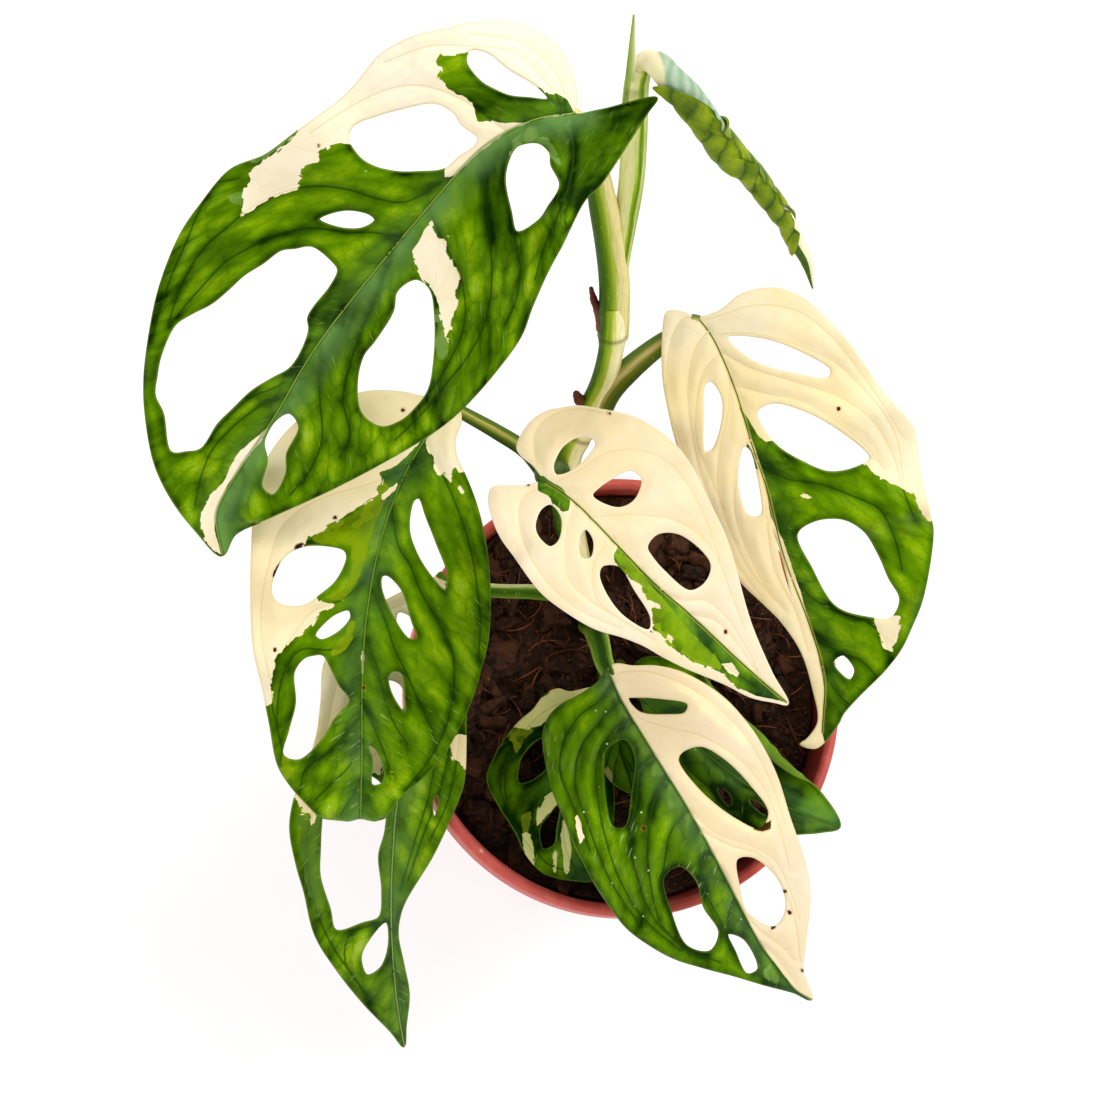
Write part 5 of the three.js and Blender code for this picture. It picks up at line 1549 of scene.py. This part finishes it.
def potMaterial():
    material = newMaterial("coral plastic")
    where = spot()
    height = addNode("SeparateXYZ", {0: where}).outputs[2]
    fine = cloud(260.0, 4.0, 0.6, where)
    broad = cloud(22.0, 3.0, 0.5, where)
    colour = blend(fade(broad, 0.3, 0.7), srgb(203, 92, 80), srgb(192, 80, 70))
    nearRim = fade(height, 0.09, 0.1, 0.25, 1.0)
    aside = addNode("VectorMath", {0: where, 1: (0.013, 0.013, 0.013)}, operation="ADD").outputs[0]
    scuffs = times(specks(190.0, 0.06, 0.2, 0.8, 0.6, 0.04, where), nearRim)
    colour = paint(colour, [
        # The plastic's own mottling, lighter on the rim as a painted highlight.
        (fade(fine, 0.4, 0.7, 0.0, 0.4), blend(nearRim, colour, srgb(216, 122, 108))),
        (scuffs, srgb(240, 196, 182)), (specks(150.0, 0.05, 0.12, 0.8, 0.82, 0.03, aside), srgb(84, 44, 34)),
        # Painted shade inside the pot, deeper further down the inner wall.
        (times(field("inside"), fade(height, 0.092, 0.103, 0.85, 0.25)), srgb(104, 36, 30)),
    ])
    relief = cloud(900.0, 3.0, 0.6, where)
    surface(colour, scaled(fine, 0.3, 0.34), relief, 0.00005, waxy=0.08, waxRadius=(1.0, 0.35, 0.25))
    return material


def potOutline():
    height, rim, lip, shoulder, base = (
        pot[key] for key in ("height", "rimRadius", "lipWidth", "shoulderRadius", "baseRadius"))
    edge = height - pot["lipDepth"]
    inner = shoulder - pot["wall"]
    outline = [
        (0, 0), (pot["recessRadii"][0], 0), (pot["recessRadii"][0] + 1, pot["recessDepth"]),
        (pot["recessRadii"][1], pot["recessDepth"]), (pot["recessRadii"][1] + 1, 0),
        (base - 0.5, 0), (base - 0.15, 0.15), (base, 0.6),
    ]
    outline += [(base + (shoulder - base) * t, 0.6 + (edge - 0.6) * t) for t in np.linspace(0.06, 1, 16)]
    outline += [(rim - 0.5, edge), (rim - 0.15, edge + 0.15), (rim, edge + 0.6), (rim, height - 1.4)]
    middle = rim - lip / 2
    for k in range(1, 12):  # the rounded lip
        angle = math.pi * k / 12
        outline.append((middle + lip / 2 * math.cos(angle), height - 1.4 + 1.4 * math.sin(angle)))
    outline += [(rim - lip, height - 1.4), (rim - lip - 0.1, height - 3)]
    outline += [(inner, edge - 1), (inner - 8, edge - 1 - 8 * (edge - 1 - potFloor) / (inner - base + 1.4))]
    outline += [(base - pot["wall"] + 0.4, potFloor), (0, potFloor)]
    return outline


def makePot():
    outline = potOutline()
    inner = next(i for i, p in enumerate(outline) if p[0] == pot["rimRadius"] - pot["lipWidth"])
    sides = pot["sides"]
    build = bmesh.new()
    layer = build.verts.layers.float.new("inside")
    rings = []
    for i, (radius, z) in enumerate(outline):
        if radius == 0:
            ring = [build.verts.new((0, 0, z * mm))]
        else:
            ring = [
                build.verts.new((radius * math.cos(a) * mm, radius * math.sin(a) * mm, z * mm))
                for a in (2 * math.pi * k / sides for k in range(sides))
            ]
        for v in ring:
            v[layer] = 1.0 if i >= inner else 0.0
        rings.append(ring)
    for a, b in zip(rings[:-1], rings[1:]):
        for k in range(sides):
            near, far = a[k % len(a)], b[k % len(b)]
            nearNext, farNext = a[(k + 1) % len(a)], b[(k + 1) % len(b)]
            corners = [near, nearNext, farNext, far]
            build.faces.new(list(dict.fromkeys(corners)))
    mesh = bpy.data.meshes.new("pot")
    build.to_mesh(mesh)
    build.free()
    body = putIn("potBody", mesh)
    drills = bmesh.new()
    for i in range(pot["drainHoles"]):
        angle = 2 * math.pi * (i + 0.5) / pot["drainHoles"]
        spotAt = Vector((math.cos(angle), math.sin(angle), 0)) * pot["drainRing"] * mm
        radius = pot["drainRadius"] * mm
        bmesh.ops.create_cone(
            drills, cap_ends=True, segments=40, radius1=radius, radius2=radius, depth=20 * mm,
            matrix=Matrix.Translation(spotAt))
    drillMesh = bpy.data.meshes.new("drills")
    drills.to_mesh(drillMesh)
    drills.free()
    drill = putIn("drills", drillMesh)
    cut = body.modifiers.new("drain holes", "BOOLEAN")
    cut.operation = "DIFFERENCE"
    cut.solver = "MANIFOLD"
    cut.object = drill
    shaped = body.evaluated_get(bpy.context.evaluated_depsgraph_get())
    points = [tuple(v.co / mm) for v in shaped.data.vertices]
    faces = [tuple(p.vertices) for p in shaped.data.polygons]
    bpy.data.objects.remove(body)
    bpy.data.objects.remove(drill)
    edge = pot["height"] - pot["lipDepth"]
    spread = pot["shoulderRadius"] - pot["baseRadius"]
    inside = []
    for x, y, z in points:  # nearer to the inner face of the wall or lip than to the outer one
        middle = pot["baseRadius"] + (z - 0.6) / (edge - 0.6) * spread - pot["wall"] / 2
        inWall = z > potFloor - 0.1 and math.hypot(x, y) < middle
        inLip = z > edge and math.hypot(x, y) < pot["rimRadius"] - pot["lipWidth"] + 0.1
        inside.append(float(inWall or inLip))
    piece = newPiece("pot.main", points, faces, {"inside": inside}, "pot", (potMaterial(),))
    piece.data.set_sharp_from_angle(angle=math.radians(pot["sharpAngle"]))


makePot()


# Soil

soil = {
    "top": 93,
    "lipFoot": 95,
    "gap": 0.6,  # mm between the soil and the pot's wall
    "underGap": 0.3,
    "stalks": trace("594,630 588,625 602,668 600,655 618,662 611,680 575,597"),  # kept clear of bark
    "lumpHeight": 0.9,
    "bank": 7.0,  # the soil climbs the pot's wall at the back
    "rows": 70,
    "spokes": 220,
    "chips": 640,
    "chipSize": (0.8, 4.2),  # mm
    "fibres": 340,
    "fibreLength": (5, 19),
    "fibreRadius": (0.09, 0.26),
    "knot": (820, 782),  # where roots crowd on the soil, in pixels
    "knotFibres": 70,
    "crumbs": 1500,
    "crumbSize": (0.25, 0.9),
    "seed": 5,
}


def soilHeight(x, y):
    lumps = (
        np.sin(x * 0.31 + 1.3) * np.cos(y * 0.27 - 0.4) + 0.6 * np.sin(x * 0.13 - y * 0.17 + 2)
        + 0.5 * np.sin(x * 0.53 + y * 0.47)
    )
    bank = between(np.hypot(x, y) / soilRoom, 0.55, 0.97) * between(y / soilRoom, -0.1, 0.65)
    return soil["top"] + lumps * soil["lumpHeight"] + bank * soil["bank"]


def soilMaterial():
    material = newMaterial("bark mix")
    where = spot()
    fine = cloud(700.0, 5.0, 0.65, where)
    broad = cloud(120.0, 4.0, 0.6, where)
    own = field("own")  # each bit has its own shade
    # Painted light and shade on the bark: darker where the bump is low, near-black patches as painted shadow
    # between the bits, lighter grain peaks as painted highlights and pale specks as painted glints.
    dark = blend(broad, srgb(12, 6, 4), srgb(46, 26, 14))
    bark = blend(own, dark, srgb(96, 56, 32))
    colour = paint(bark, [
        # painted highlight, painted shadow and painted glints
        (fade(fine, 0.42, 0.68, 0.0, 0.75), srgb(112, 68, 40)),
        (fade(broad, 0.32, 0.48, 0.7, 0.0), srgb(10, 6, 4)),
        (specks(900.0, 0.08, 0.2, 0.7, 0.74, 0.04, where), srgb(186, 156, 122)),
    ])
    surface(colour, fade(fine, 0.2, 0.8, 0.6, 0.95), calc("ADD", fine, broad), 0.001)
    return material


def fibreMaterial():
    material = newMaterial("coir fibre")
    where = spot()
    mottle = cloud(500.0, 3.0, 0.6, where)
    own = field("own")
    colour = blend(own, srgb(84, 38, 22), srgb(170, 104, 66))
    colour = blend(fade(mottle, 0.4, 0.7, 0.0, 0.6), colour, srgb(70, 30, 18))
    surface(colour, fade(mottle, 0.2, 0.8, 0.5, 0.8), mottle, 0.0001)
    return material


def wallAt(z):  # how far out the soil reaches at a height
    rise = (z - potFloor) / (soil["lipFoot"] - potFloor)
    return pot["footRoom"] + rise * (pot["topRoom"] - pot["footRoom"]) - soil["gap"]


soilRoom = wallAt(soil["top"])


def somewhere(rng, edge):  # a random place on the soil, some mm from the pot's wall
    reach = math.sqrt(rng.random()) * (soilRoom - edge)
    angle = rng.random() * 2 * math.pi
    return reach * math.cos(angle), reach * math.sin(angle)


def makeSoil():
    rows, spokes = soil["rows"], soil["spokes"]
    points = [(0, 0, float(soilHeight(0, 0)))]
    for i in range(1, rows + 1):
        radius = soilRoom * i / rows
        for k in range(spokes):
            angle = 2 * math.pi * k / spokes
            x, y = radius * math.cos(angle), radius * math.sin(angle)
            rough = 0.9 * noise.noise((x / 2.6, y / 2.6, 3)) + 0.7 * noise.noise((x / 1.1, y / 1.1, 7))
            z = float(soilHeight(x, y)) + rough
            wider = 1 + (0.0028 * max(0, z - soil["top"]) if i > rows - 6 else 0)
            points.append((x * wider, y * wider, z))
    faces = [(0, 1 + k, 1 + (k + 1) % spokes) for k in range(spokes)]
    for i in range(rows - 1):
        for k in range(spokes):
            a, b = 1 + i * spokes + k, 1 + i * spokes + (k + 1) % spokes
            faces.append((a, a + spokes, b + spokes, b))
    rim = 1 + (rows - 1) * spokes
    floor = potFloor + soil["underGap"]
    lower = len(points)
    inner = wallAt(floor)
    for k in range(spokes):
        angle = 2 * math.pi * k / spokes
        points.append((inner * math.cos(angle), inner * math.sin(angle), floor))
    points.append((0, 0, floor))
    for k in range(spokes):
        after = (k + 1) % spokes
        faces.append((rim + k, lower + k, lower + after, rim + after))
        faces.append((lower + k, len(points) - 1, lower + after))
    own = [0.2] * len(points)
    rng = random.Random(soil["seed"])
    stalks = np.array(soil["stalks"])
    stems = sight(stalks[:, 0], stalks[:, 1], np.full(len(stalks), 92))[:, :2]

    def clear(x, y, room):
        return all(math.hypot(x - s[0], y - s[1]) > room + 3.5 for s in stems)

    balls = []
    for detail in (2, 3):
        build = bmesh.new()
        bmesh.ops.create_icosphere(build, subdivisions=detail, radius=1)
        balls.append(([v.co.copy() for v in build.verts], [[v.index for v in f.verts] for f in build.faces]))
        build.free()
    for i in range(soil["chips"]):
        size = soil["chipSize"][0] + (soil["chipSize"][1] - soil["chipSize"][0]) * rng.random() ** 2.2
        x, y = somewhere(rng, size * 0.8)
        shape = (1, rng.uniform(0.4, 0.9), rng.uniform(0.3, 0.7))
        spin = Matrix.Rotation(rng.random() * 6.3, 3, "Z") @ Matrix.Rotation(rng.uniform(-0.7, 0.7), 3, "X")
        shade = rng.random() ** 1.8
        if not clear(x, y, size * 0.6):
            continue
        z = float(soilHeight(x, y)) + size * shape[2] * 0.55
        start = len(points)
        corners, skin = balls[1 if size > 3 else 0]
        for corner in corners:
            dent = noise.noise(corner * 1.1 + Vector((i * 3.7, 0, 0))) * 0.6
            dent += noise.noise(corner * 3 + Vector((0, i * 1.9, 0))) * 0.3
            flat = Vector([max(-0.72, min(0.72, corner[c])) * 1.25 for c in range(3)])
            bit = spin @ Vector([flat[c] * size * shape[c] * (1 + dent) for c in range(3)])
            points.append((bit.x + x, bit.y + y, bit.z + z))
            own.append(shade)
        faces += [tuple(k + start for k in face) for face in skin]
    for i in range(soil["crumbs"]):
        size = rng.uniform(*soil["crumbSize"])
        x, y = somewhere(rng, 1)
        z = float(soilHeight(x, y)) + 0.4 + rng.random() * 0.8
        shade = 0.2 + rng.random() * 1.0
        start = len(points)
        for corner in ((1, 0, 0), (-1, 0, 0), (0, 1, 0), (0, -1, 0), (0, 0, 1), (0, 0, -1)):
            points.append([at + c * size * rng.uniform(0.5, 1.2) for at, c in zip((x, y, z), corner)])
            own.append(shade)
        for face in ((0, 2, 4), (2, 1, 4), (1, 3, 4), (3, 0, 4), (2, 0, 5), (1, 2, 5), (3, 1, 5), (0, 3, 5)):
            faces.append(tuple(start + k for k in face))
    newPiece("soil.main", points, faces, {"own": own}, "soil", (soilMaterial(),))
    return rng


def makeFibres(rng):
    points, faces, own = [], [], []
    start = 0
    knot = sight(*soil["knot"], soil["top"])[0]
    for i in range(soil["fibres"] + soil["knotFibres"]):
        x, y = somewhere(rng, 4)
        if i >= soil["fibres"]:
            x, y = knot[0] + rng.gauss(0, 2.4), knot[1] + rng.gauss(0, 2.4)
        way = rng.random() * 2 * math.pi
        bend = rng.uniform(-0.3, 0.3)
        length = rng.uniform(*soil["fibreLength"])
        radius = rng.uniform(*soil["fibreRadius"])
        lift = rng.uniform(0.8, 2.4)
        path = []
        for k in range(9):
            s = k / 8 - 0.5
            way += bend
            x += math.cos(way) * length / 8
            y += math.sin(way) * length / 8
            path.append((x, y, float(soilHeight(x, y)) + lift - 9 * s * s + 0.4 * math.sin(5 * s + i)))
        path = [p for p in path if math.hypot(p[0], p[1]) < soilRoom - 0.6]
        shade = rng.random()
        if len(path) < 4:
            continue
        fine = curveAt(path, np.linspace(0, len(path) - 1, 12))
        more, skin, _ = sweep(fine, stalkSection((radius, radius, radius * 0.6), 6), Vector((0.1, 0.2, 1)))
        points.append(more)
        faces += [tuple(v + start for v in face) for face in skin]
        own += [shade] * len(more)
        start += len(more)
    newPiece("soil.fibres", np.vstack(points), faces, {"own": own}, "soil", (fibreMaterial(),))


makeFibres(makeSoil())


# The set: a pale floor, soft light from overhead and a camera where the photograph was taken

setting = {
    "floor": (160, 161, 162),
    "world": 0.46,
    "floorGlow": 0.57,  # keeps the shadows on the floor light
    "contrast": "Medium High Contrast",
    "lights": [  # place and aim in metres, size, watts
      ((1.35, 1.1, 1.9), (0, 0, 0.1), 1.5, 36.0),
      ((-1.9, 0.9, 1.5), (0, 0, 0.1), 1.2, 13.0),
      ((-0.2, -2.0, 1.5), (0, 0, 0.1), 1.2, 13.0),
    ],
}


def makeSetting():
    floorMesh = bpy.data.meshes.new("floor")
    side = 3.0
    corners = [(-side, -side, 0), (side, -side, 0), (side, side, 0), (-side, side, 0)]
    floorMesh.from_pydata(corners, [], [(0, 1, 2, 3)])
    floor = putIn("floor", floorMesh)
    material = newMaterial("pale floor")
    mottle = cloud(60.0, 4.0, 0.5, spot())
    colour = blend(mottle, srgb(*setting["floor"]), srgb(164, 165, 165))
    plug(colour, shader.inputs["Base Color"])
    shader.inputs["Emission Color"].default_value = (1, 1, 1, 1)
    shader.inputs["Emission Strength"].default_value = setting["floorGlow"]
    shader.inputs["Roughness"].default_value = 0.8
    floorMesh.materials.append(material)
    world = bpy.data.worlds.new("soft light")
    world.use_nodes = True
    background = world.node_tree.nodes["Background"]
    background.inputs[0].default_value = (1, 1, 1, 1)
    background.inputs[1].default_value = setting["world"]
    bpy.context.scene.world = world
    for i, (place, aim, size, watts) in enumerate(setting["lights"]):
        lamp = bpy.data.lights.new("light" + str(i), "AREA")
        lamp.energy = watts
        lamp.size = size
        holder = putIn("light" + str(i), lamp)
        holder.location = place
        holder.rotation_euler = (Vector(place) - Vector(aim)).to_track_quat("Z", "Y").to_euler()
    view = bpy.data.cameras.new("camera")
    view.sensor_width = photo["sensorWidth"]
    view.lens = focal * photo["sensorWidth"] / (2 * photo["middle"])
    view.clip_end = 20
    camera = putIn("camera", view)
    turned = Matrix((eyeRight, eyeUp, toEye)).transposed().to_4x4()
    camera.matrix_world = Matrix.Translation(eyePoint * mm) @ turned
    bpy.context.scene.camera = camera
    bpy.context.scene.view_settings.view_transform = "Standard"
    bpy.context.scene.view_settings.look = setting["contrast"]
    print("set made")


makeSetting()
